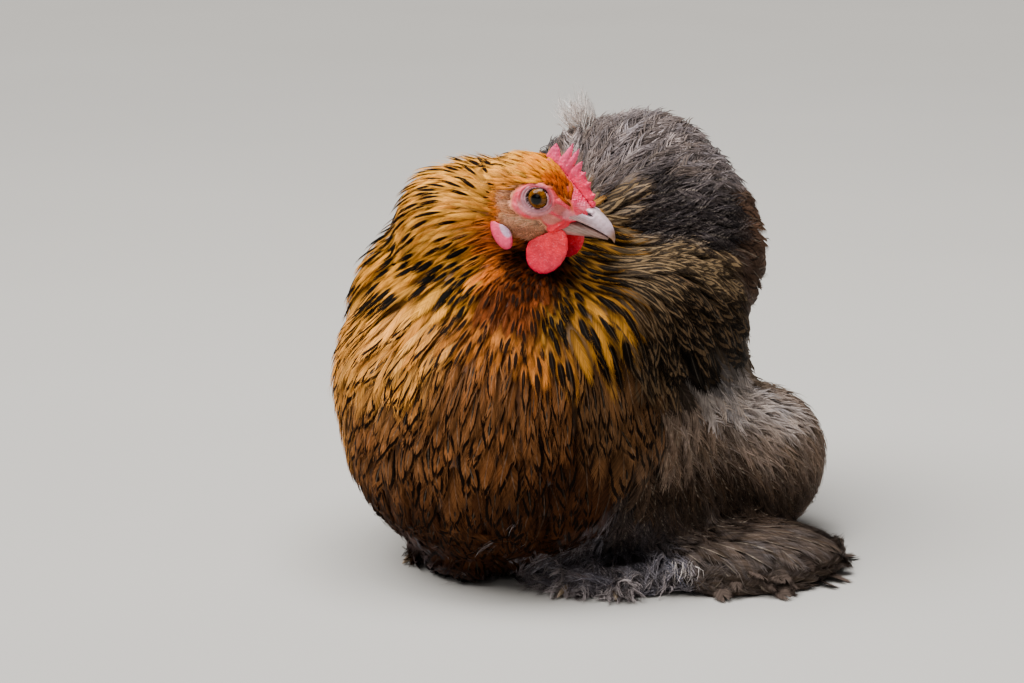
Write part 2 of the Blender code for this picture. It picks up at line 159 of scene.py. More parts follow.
class Graph:
    """Adds nodes to one node tree and links them."""

    SIGNS: ClassVar = {
        "+": "ADD", "-": "SUBTRACT", "*": "MULTIPLY", "/": "DIVIDE", "^": "POWER", "*+": "MULTIPLY_ADD",
        "max": "MAXIMUM", "min": "MINIMUM", "abs": "ABSOLUTE", "cos": "COSINE", "sin": "SINE",
    }

    def __init__(self, tree: NodeTree) -> None:
        """Keeps the tree."""
        self.tree = tree

    def feed(self, socket: NodeSocket, value: object) -> None:
        """Links a socket to a socket, or sets its value. None leaves it alone."""
        if isinstance(value, NodeSocket):
            self.tree.links.new(value, socket)
        elif value is not None:
            socket.default_value = (*value, 1.0) if socket.type == "RGBA" and len(value) == 3 else value

    def fill(self, node: Node, values: dict[str, object]) -> Outputs:
        """Feeds a node's inputs by their names and gives its outputs."""
        for name, value in values.items():
            self.feed(node.inputs[name], value)
        return node.outputs

    def node(self, kind: str, *values: object, **settings: object) -> Node:
        """Adds a node, with its settings, and feeds its inputs in their order."""
        made = self.tree.nodes.new(kind)
        for name, setting in settings.items():
            setattr(made, name, setting)
        for socket, value in zip(made.inputs, values):
            self.feed(socket, value)
        return made

    def math(self, sign: str, *values: object, clamp: bool = False) -> NodeSocket:
        """A Math node's result. A product, sum or maximum takes any number of values."""
        while sign in ("*", "+", "max") and len(values) > 2:
            values = (self.math(sign, *values[:2]), *values[2:])
        return self.node("ShaderNodeMath", *values, operation=self.SIGNS[sign], use_clamp=clamp).outputs[0]

    def vector(self, operation: str, *values: object) -> NodeSocket:
        """A Vector Math node's vector. SCALE takes its number second."""
        if operation == "SCALE":
            values = (values[0], None, None, values[1])
        name = self.SIGNS.get(operation, operation)
        return self.node("ShaderNodeVectorMath", *values, operation=name).outputs[0]

    def mix(self, share: object, first: object, second: object) -> NodeSocket:
        """Two colours mixed."""
        made = self.node("ShaderNodeMix", data_type="RGBA")
        for index, value in ((0, share), (6, first), (7, second)):
            self.feed(made.inputs[index], value)
        return made.outputs[2]

    def step(
        self, value: NodeSocket, low: float, high: float, start: float = 0.0, end: float = 1.0
    ) -> NodeSocket:
        """A smooth step between two values."""
        values = (value, low, high, start, end)
        return self.node("ShaderNodeMapRange", *values, interpolation_type="SMOOTHSTEP").outputs[0]

    def split(self, vector: NodeSocket) -> Outputs:
        """A vector's three numbers."""
        return self.node("ShaderNodeSeparateXYZ", vector).outputs

    def join(self, *values: object) -> NodeSocket:
        """Three numbers as a vector."""
        return self.node("ShaderNodeCombineXYZ", *values).outputs[0]

    def noise(self, place: NodeSocket, scale: float, detail: float = 2.0, rough: float = 0.5) -> Outputs:
        """A Noise Texture's value and colour."""
        inputs = {"Vector": place, "Scale": scale, "Detail": detail, "Roughness": rough}
        return self.fill(self.node("ShaderNodeTexNoise"), inputs)


# ---- Shared shader effects ----


def new_group(name: str, inputs: Sequence[tuple[str, str]], outputs: Sequence[tuple[str, str]]) -> tuple:
    """An empty shader group.

    Args:
        name: The group's name.
        inputs: Name and socket type of each input.
        outputs: Name and socket type of each output.

    Returns:
        The tree, its Graph, its input sockets by name and its output node.
    """
    tree = bpy.data.node_groups.new(name, "ShaderNodeTree")
    for direction, sockets in (("INPUT", inputs), ("OUTPUT", outputs)):
        for label, kind in sockets:
            tree.interface.new_socket(name=label, in_out=direction, socket_type=kind)
    start, end = tree.nodes.new("NodeGroupInput"), tree.nodes.new("NodeGroupOutput")
    return tree, Graph(tree), {s.name: s for s in start.outputs if s.name}, end


FLOAT, VECTOR, COLOR = "NodeSocketFloat", "NodeSocketVector", "NodeSocketColor"


def feather_marks_group() -> NodeTree:
    """The marks on one vane: centre stripe, ring lines along the edge, peppering, pale shaft, barbs, and
    painted shade towards the root.
    """
    tree, g, at, end = new_group(
        "feather_marks",
        [("Vane", VECTOR), ("Pattern", VECTOR), ("Detail", VECTOR)],
        [("Mark", FLOAT), ("Shaft", FLOAT), ("Shade", FLOAT), ("Height", FLOAT)],
    )
    across, along, _ = g.split(at["Vane"])
    stripe_amount, ring_amount, pepper_amount = g.split(at["Pattern"])
    shaft_amount, ring_count, chance = g.split(at["Detail"])
    x = g.math("*+", across, 2.0, -1.0)
    side = g.math("abs", x)
    seed = g.math("*", chance, 61.0)
    wander = g.noise(g.join(g.math("*", x, 1.6), g.math("*", along, 5.0), seed), 1.0)[0]
    wander = g.math("-", wander, 0.5)
    frayed, firm = (g.math("*+", wander, amount, side) for amount in (0.50, 0.12))

    # The centre stripe is a lens that narrows towards both ends.
    def past(first: object, second: object, span: float, bend: float) -> NodeSocket:
        """How far one value lies past another, in spans, bent by a power."""
        over = g.math("max", g.math("-", first, second), 0.0)
        return g.math("^", g.math("/", over, span), bend)

    ends = g.math("+", past(along, 0.62, 0.36, 1.5), past(0.60, along, 0.34, 1.5))
    lens = g.math("+", g.math("/", firm, g.math("*", stripe_amount, 0.78)), ends)
    stripe = g.math("*", g.step(lens, 1.10, 0.92), g.math("min", g.math("*", stripe_amount, 2.4), 1.0))
    stripe = g.math("*", stripe, g.step(along, 0.28, 0.46))

    # Rings of lines run along the edge and round the tip, stronger on one side.
    bend = 1.25
    arms = g.math("^", g.math("max", frayed, 0.0), bend)
    ring = g.math("^", g.math("+", arms, past(along, 0.52, 0.47, bend)), 1 / bend)
    phase = g.math("*", g.math("-", ring, 0.64), ring_count)
    lines = g.step(g.math("cos", g.math("*", phase, 2.0 * math.pi)), 0.08, 0.48)
    sided = g.noise(g.join(g.math("*", x, 0.9), 0.0, g.math("+", seed, 17.0)), 1.0)[0]
    strength = g.math("min", g.math("*", ring_amount, 2.0), 1.0)
    lines = g.math("*", lines, g.step(ring, 0.98, 0.86), g.step(sided, 0.36, 0.46, 0.20, 1.0), strength)

    # Fine peppering, the pale shaft, the barbs' light and shade, and painted shade that darkens each vane
    # towards its root.
    grain = g.noise(g.join(g.math("*", x, 7.0), g.math("*", along, 22.0), seed), 1.0, 3.0, 0.6)[0]
    pepper = g.math("*", g.step(grain, 0.52, 0.60), pepper_amount)
    shaft = g.math("*", g.step(side, 0.085, 0.03), g.step(along, 0.97, 0.80), shaft_amount)
    barb = g.join(g.math("*", side, 0.35), g.math("*", g.math("*+", side, -0.30, along), 46.0), seed)
    barbs = g.noise(barb, 1.0, 2.0, 0.65)[0]
    coarse = g.noise(g.vector("*", barb, (0.8, 0.38, 1.0)), 1.0, 2.0, 0.6)[0]
    tones = g.step(barbs, 0.25, 0.75, 0.76, 1.20), g.step(coarse, 0.32, 0.66, 0.66, 1.22)
    shade = g.math("*", *tones, g.step(along, 0.05, 0.60, 0.45, 1.0))
    mark = g.math("max", stripe, lines, pepper, clamp=True)
    g.fill(end, {"Mark": mark, "Shaft": shaft, "Shade": shade, "Height": barbs})
    return tree


def flesh_grain_group() -> NodeTree:
    """Bare skin's fine grain: rounded granules with painted highlights on their tops, and slow changes of
    tone.
    """
    tree, g, at, end = new_group(
        "flesh_grain",
        [("Place", VECTOR), ("Granule", FLOAT)],
        [("Tops", FLOAT), ("Tone", FLOAT), ("Height", FLOAT)],
    )
    place = at["Place"]
    warped = g.vector("+", place, g.vector("SCALE", g.noise(place, 900.0)[1], 0.0006))
    cells = g.node("ShaderNodeTexVoronoi", feature="SMOOTH_F1")
    near = g.fill(cells, {"Vector": warped, "Scale": at["Granule"]})["Distance"]
    patches = g.noise(place, 520.0, 2.0, 0.6)[0]
    # Painted highlights on the granules' tops, in patches.
    highlight_tops = g.math("*", g.step(near, 0.40, 0.10), g.step(patches, 0.42, 0.60, 0.10, 1.0))
    tone = g.noise(place, 260.0, 3.0, 0.6)[0]
    g.fill(end, {"Tops": highlight_tops, "Tone": tone, "Height": g.math("-", 1.0, near)})
    return tree


class Finishes:
    """The hen's materials, each made once from shared groups."""

    def __init__(self) -> None:
        """Builds the shared groups."""
        self.marks = feather_marks_group()
        self.grain = flesh_grain_group()
        self.made: dict[str, Material] = {}

    def start(self, name: str, roughness: float) -> tuple[Material, Graph, Node]:
        """A new material with its Graph and Principled shader."""
        material = bpy.data.materials.new(name)
        material.use_nodes = True
        shader = material.node_tree.nodes["Principled BSDF"]
        shader.inputs["Roughness"].default_value = roughness
        self.made[name] = material
        return material, Graph(material.node_tree), shader

    @staticmethod
    def attribute(g: Graph, name: str, output: str = "Color") -> NodeSocket:
        """An attribute's value."""
        return g.node("ShaderNodeAttribute", attribute_name=name).outputs[output]

    @staticmethod
    def bump(g: Graph, shader: Node, height: NodeSocket, strength: float, distance: float) -> None:
        """Feeds a Bump node's normal to the shader."""
        made = g.tree.nodes.new("ShaderNodeBump")
        normal = g.fill(made, {"Strength": strength, "Distance": distance, "Height": height})[0]
        g.feed(shader.inputs["Normal"], normal)

    def plumage(self) -> Material:
        """Feathers: ground and mark colours from each feather's own attributes."""
        material, g, shader = self.start("plumage", 0.62)
        inputs = {
            "Vane": g.node("ShaderNodeUVMap", uv_map=VANE_MAP).outputs[0],
            "Pattern": self.attribute(g, "pattern", "Vector"),
            "Detail": self.attribute(g, "detail", "Vector"),
        }
        marks = g.fill(g.node("ShaderNodeGroup", node_tree=self.marks), inputs)
        ground = self.attribute(g, "ground")
        colour = g.mix(marks["Mark"], ground, self.attribute(g, "marking"))
        colour = g.mix(marks["Shaft"], colour, g.mix(0.55, ground, (0.72, 0.60, 0.46)))
        colour = g.vector("SCALE", colour, marks["Shade"])
        g.fill(shader, {"Base Color": colour, "Specular IOR Level": 0.03})
        self.bump(g, shader, marks["Height"], 0.55, 0.0002)
        return material

    def flesh(
        self, name: str, roughness: float, granule: float, pale: Rgb, amount: float, wet: float
    ) -> Material:
        """Bare skin or skin under feathers: its tint attribute, with granules and painted highlights on their
        tops.

        Args:
            name: The material's name.
            roughness: Of the surface.
            granule: Granules per metre.
            pale: Colour of the painted highlights on the granules' tops.
            amount: How strongly the painted highlights show.
            wet: Weight of a thin clear coat.

        Returns:
            The material.
        """
        material, g, shader = self.start(name, roughness)
        inputs = {"Place": g.node("ShaderNodeTexCoord").outputs["Object"], "Granule": granule}
        grain = g.fill(g.node("ShaderNodeGroup", node_tree=self.grain), inputs)
        bare = self.attribute(g, "bare", "Fac")
        colour = g.vector("SCALE", self.attribute(g, "tint"), g.step(grain["Tone"], 0.3, 0.7, 0.80, 1.18))
        colour = g.mix(g.math("*", grain["Tops"], amount, bare), colour, pale)
        g.fill(shader, {"Base Color": colour, "Coat Weight": wet, "Coat Roughness": 0.35})
        self.bump(g, shader, g.math("*", grain["Height"], bare), 0.6, 0.00035)
        return material

    def horn(self, name: str, roughness: float) -> Material:
        """Bill or claw: its tint attribute with lengthwise streaks."""
        material, g, shader = self.start(name, roughness)
        place = g.node("ShaderNodeTexCoord").outputs["Object"]
        streaks = g.noise(g.vector("*", place, (260.0, 900.0, 900.0)), 1.0, 4.0, 0.6)[0]
        blots = g.noise(place, 420.0, 2.0, 0.5)[0]
        tone = g.math("*", g.step(streaks, 0.3, 0.7, 0.86, 1.10), g.step(blots, 0.3, 0.7, 0.92, 1.06))
        colour = g.vector("SCALE", self.attribute(g, "tint"), tone)
        g.fill(shader, {"Base Color": colour, "Coat Weight": 0.25, "Coat Roughness": 0.25})
        self.bump(g, shader, streaks, 0.25, 0.0002)
        return material

    def eye(self) -> Material:
        """Pupil, amber iris with rays and a dark rim, under a clear wet coat."""
        material, g, shader = self.start("eye_wet", 0.12)
        turn, reach, _ = g.split(g.node("ShaderNodeUVMap", uv_map="Iris").outputs[0])
        circle = g.join(*(g.math(wave, g.math("*", turn, 2 * math.pi)) for wave in ("cos", "sin")), reach)
        rays = g.noise(g.vector("*", circle, (9.0, 9.0, 1.5)), 1.0, 3.0, 0.6)[0]
        blots = g.noise(g.vector("*", circle, (2.0, 2.0, 5.0)), 1.0, 2.0, 0.5)[0]
        amber = g.mix(g.step(rays, 0.32, 0.68), paint(66, 38, 16), paint(136, 88, 36))
        amber = g.mix(g.step(reach, 0.42, 0.56), paint(64, 40, 24), amber)
        amber = g.mix(g.math("*", g.step(blots, 0.45, 0.7), 0.35), amber, paint(88, 72, 42))
        colour = g.mix(g.step(reach, 0.76, 0.83), amber, paint(26, 16, 14))
        colour = g.mix(g.step(reach, 0.415, 0.395), colour, (0.001, 0.001, 0.0015))
        g.fill(shader, {"Base Color": colour, "Specular IOR Level": 0.1})
        g.fill(shader, {"Coat IOR": 1.38, "Coat Weight": 0.35, "Coat Roughness": 0.02})
        return material

    def studio_floor(self) -> Material:
        """The pale floor."""
        material, g, shader = self.start("studio_floor", 0.85)
        cloud = g.noise(g.node("ShaderNodeTexCoord").outputs["Object"], 3.0, 2.0, 0.5)[0]
        g.feed(shader.inputs["Base Color"], g.mix(cloud, (0.44, 0.43, 0.41), (0.48, 0.47, 0.45)))
        return material


# ---- Mesh helpers ----


def add_object(name: str, mesh: Mesh, material: Material | None = None) -> Object:
    """Links a mesh as an object with one material."""
    obj = bpy.data.objects.new(name, mesh)
    bpy.context.scene.collection.objects.link(obj)
    if material is not None:
        mesh.materials.clear()
        mesh.materials.append(material)
    return obj


def mesh_of(name: str, points: Array, faces: Iterable[Sequence[int]]) -> Mesh:
    """A mesh from points and faces."""
    mesh = bpy.data.meshes.new(name)
    mesh.from_pydata(np.asarray(points, float).tolist(), [], [list(map(int, f)) for f in faces])
    mesh.update()
    return mesh


def read(items: Sequence, key: str, width: int = 1, kind: type = float) -> Array:
    """A value of every item of a mesh's collection, in rows where it holds more than one number."""
    flat = np.empty(len(items) * width, kind)
    items.foreach_get(key, flat)
    return flat.reshape(-1, width) if width > 1 else flat


def points_of(mesh: Mesh) -> Array:
    """A mesh's vertices as rows."""
    return read(mesh.vertices, "co", 3)


def move_points(mesh: Mesh, points: Array) -> None:
    """Puts a mesh's vertices at new places."""
    mesh.vertices.foreach_set("co", np.ascontiguousarray(points, np.float32).ravel())
    mesh.update()


def store(mesh: Mesh, name: str, values: Array) -> None:
    """Stores rows of 1, 3 or 4 numbers as a point attribute, 4 as a colour."""
    width = 1 if values.ndim == 1 else values.shape[1]
    kind, key = {1: ("FLOAT", "value"), 3: ("FLOAT_VECTOR", "vector"), 4: ("FLOAT_COLOR", "color")}[width]
    layer = mesh.attributes.new(name, kind, "POINT")
    layer.data.foreach_set(key, np.ascontiguousarray(values, np.float32).ravel())


def store_tint(mesh: Mesh, colours: Array, bare: float | Array = 1.0) -> None:
    """Stores the tint and how bare the skin is, which the flesh and horn materials read."""
    store(mesh, "tint", opaque(colours))
    store(mesh, "bare", np.broadcast_to(bare, len(colours)))


def baked(obj: Object, name: str) -> Mesh:
    """The object's evaluated mesh as plain data."""
    graph = bpy.context.evaluated_depsgraph_get()
    mesh = bpy.data.meshes.new_from_object(obj.evaluated_get(graph), depsgraph=graph)
    mesh.name = name
    return mesh


def drop(obj: Object) -> None:
    """Removes a helper object."""
    bpy.data.objects.remove(obj)


def remeshed(name: str, meshes: Sequence[Mesh], voxel: float, smoothing: int) -> Mesh:
    """Closed meshes joined by one voxel skin and smoothed.

    Args:
        name: The new mesh's name.
        meshes: Closed meshes that may overlap or nearly touch.
        voxel: Size of a voxel, in metres.
        smoothing: Smoothing steps.

    Returns:
        The skin.
    """
    bm = bmesh.new()
    for mesh in meshes:
        bm.from_mesh(mesh)
    bmesh.ops.remove_doubles(bm, verts=bm.verts, dist=1e-6)
    joined = bpy.data.meshes.new(name)
    bm.to_mesh(joined)
    bm.free()
    obj = add_object(f"guide_{name}", joined)
    skin = obj.modifiers.new("skin", "REMESH")
    skin.mode, skin.voxel_size = "VOXEL", voxel
    if smoothing:
        smooth = obj.modifiers.new("smooth", "SMOOTH")
        smooth.factor, smooth.iterations = 0.5, smoothing
    mesh = baked(obj, name)
    drop(obj)
    return mesh


def facing_out(mesh: Mesh) -> Mesh:
    """Recalculates a closed mesh's normals outwards and shades it smooth."""
    bm = bmesh.new()
    bm.from_mesh(mesh)
    bmesh.ops.recalc_face_normals(bm, faces=bm.faces)
    bm.to_mesh(mesh)
    bm.free()
    mesh.shade_smooth()
    return mesh


def closed_tube(
    name: str,
    rings: Array,
    place: Callable[[Array], Array] = np.asarray,
    poles: Array | None = None,
) -> Mesh:
    """A closed body through rings of points, with a pole in each end.

    Args:
        name: The mesh's name.
        rings: The points, as rings by sides by three numbers.
        place: Moves all points to their place in the world.
        poles: The two poles, or None for the middles of the end rings.

    Returns:
        The mesh.
    """
    rows, columns = rings.shape[:2]
    if poles is None:
        poles = np.array([rings[0].mean(axis=0), rings[-1].mean(axis=0)])
    pairs = [(k, (k + 1) % columns) for k in range(columns)]
    faces: list[tuple[int, ...]] = []
    for i in range(0, (rows - 1) * columns, columns):
        faces += [(i + a, i + b, i + columns + b, i + columns + a) for a, b in pairs]
    for ring, pole in ((0, rows * columns), ((rows - 1) * columns, rows * columns + 1)):
        faces += [(pole, ring + a, ring + b) for a, b in pairs]
    return facing_out(mesh_of(name, place(np.concatenate([rings.reshape(-1, 3), poles])), faces))


# ---- The head ----


@dataclass(frozen=True)
class HeadFrame:
    """The head's own frame: forward along the bill, left and up, in millimetres."""

    centre: tuple[float, float, float] = (0.0277, -0.0427, 0.1607)
    yaw: float = math.radians(95)
    pitch: float = math.radians(11)

    def matrix(self) -> Array:
        """The rotation from the head's axes to the world's, as columns."""
        turn = Matrix.Rotation(self.yaw - math.pi / 2, 3, "Z") @ Matrix.Rotation(self.pitch, 3, "Y")
        return np.array(turn)

    def to_world(self, points: Array) -> Array:
        """Rows of forward, left and up become metres in the world."""
        return np.asarray(points) * MM @ self.matrix().T + np.array(self.centre)

    def to_head(self, points: Array) -> Array:
        """Rows in the world become forward, left and up in millimetres."""
        return (np.asarray(points) - np.array(self.centre)) @ self.matrix() / MM


HEAD = HeadFrame()


@dataclass(frozen=True)
class Loft:
    """A closed body through egg-shaped rings along the head's forward axis."""

    stations: tuple[tuple[float, float, float, float], ...]  # forward, top, bottom, half-width
    steps: int
    sides: int
    squareness: float

    def column(self, at: Array, index: int) -> Array:
        """One column of the stations along a Catmull-Rom curve."""
        place = np.array([s[0] for s in self.stations])
        value = np.array([s[index] for s in self.stations])
        last = len(place) - 1
        i = np.clip(np.searchsorted(place, at, side="right") - 1, 0, last - 1)
        low, high = np.maximum(np.arange(last + 1) - 1, 0), np.minimum(np.arange(last + 1) + 1, last)
        slope = (value[high] - value[low]) / (place[high] - place[low])
        span = place[i + 1] - place[i]
        t = (at - place[i]) / span
        bend = span * (t * (1 - t) ** 2 * slope[i] - t * t * (1 - t) * slope[i + 1])
        return value[i] + (value[i + 1] - value[i]) * t * t * (3 - 2 * t) + bend

    @property
    def span(self) -> tuple[float, float]:
        """The forward places of the first and the last station."""
        return self.stations[0][0], self.stations[-1][0]

    def points(self) -> Array:
        """The rings' points, as rings by sides by forward, left and up."""
        at = np.linspace(*self.span, self.steps + 1)
        top, bottom, half_width = (self.column(at, index)[:, None] for index in (1, 2, 3))
        angle = np.linspace(0, 2 * math.pi, self.sides, endpoint=False)[None]
        out, up = (np.sign(wave) * np.abs(wave) ** self.squareness for wave in (np.sin(angle), np.cos(angle)))
        high = (top + bottom) / 2 + up * (top - bottom) / 2
        return np.stack([np.broadcast_to(at[:, None], high.shape), out * half_width, high], axis=-1)

    def outward(self, points: Array) -> Array:
        """Outward directions at the rings' points."""
        along = np.gradient(points, axis=0)
        around = np.roll(points, -1, axis=1) - np.roll(points, 1, axis=1)
        normal = unit(np.cross(around, along))
        middle = points.mean(axis=1, keepdims=True)
        inward = ((points - middle) * normal).sum(-1, keepdims=True) < 0
        return np.where(inward, -normal, normal)

    def raised(self, points: Array, lift: float | Array) -> Array:
        """The rings' points moved outwards, each by its own lift."""
        moved = points.reshape(-1, 3) + self.outward(points).reshape(-1, 3) * np.reshape(lift, (-1, 1))
        return moved.reshape(points.shape)


@dataclass(frozen=True)
class EyePlace:
    """An eye's place in the head, its size and the opening between the lids, in millimetres."""

    forward: float = -0.7
    up: float = 0.8
    out: float = 8.7
    radius: float = 5.2
    opening: tuple[float, float] = (4.4, 3.85)
    turn: float = -8.0
    rim: float = 4.0  # polar's value on the opening's edge

    def polar(self, forward: Array, up: Array) -> Array:
        """Distance from the eye's axis, measured so that the lid opening is a circle."""
        along, across = turned(forward - self.forward, up - self.up, self.turn)
        return np.hypot(along / self.opening[0], across / self.opening[1]) * self.rim

    def drooped(self, forward: Array, up: Array) -> Array:
        """The same distance for the folds round the lids, which sink down and backwards."""
        sink = ease(self.polar(forward, up), 4.5, 8.0)
        return self.polar(forward + 0.55 * sink, up + 0.75 * sink)


EYE = EyePlace()


@dataclass(frozen=True)
class FaceMap:
    """Which parts of the head are bare, bristly or feathered, from points in the head's frame."""

    def bare(self, head: Array) -> Array:
        """1 on bare skin: round the eye, between eye and bill, along the comb's root and at the gape."""
        side = head[:, SIDE]
        ring = blot(side, (-1.6, -0.7), (9.3, 7.2), 12)
        lores = blot(side, (9.5, -6.3), (8.0, 5.6), -18)
        muzzle = ease(head[:, 0] + 0.35 * head[:, 2], 12.0, 14.0)
        middle = ease(np.abs(head[:, 1]), 2.3, 1.5)
        comb_root = middle * ease(head[:, 0], -5.5, -3.5) * ease(head[:, 2], 0.0, 4.0)
        jaw = blot(side, (8.8, -9.6), (4.8, 2.9), 36)
        front = blot(side, (6.6, -2.4), (6.2, 4.8), 8)
        return np.maximum.reduce([ring, lores, muzzle, comb_root, jaw, front])

    def cheek(self, head: Array) -> Array:
        """1 on the tan bristles of the cheek and over the ear."""
        side = head[:, SIDE]
        ear = blot(side, (-13.5, -3.2), (7.2, 5.4), 8)
        cheek = blot(side, (-5.0, -12.5), (12.5, 6.2), -6)
        return np.maximum(ear, cheek) * (1.0 - self.bare(head)) * ease(head[:, 2], -22.0, -18.5)

    def on_head(self, head: Array) -> Array:
        """1 on the head itself, fading over the nape and the throat."""
        return within(head, (27.0, 17.5, 24.0), 1.25, 0.95) * ease(head[:, 0], -25.0, -17.0)

    def near(self, head: Array) -> Array:
        """1 on and close about the head, so that its side masks stay off the body."""
        return within(head, (30.0, 18.0, 26.0), 1.25, 1.05)


FACE = FaceMap()


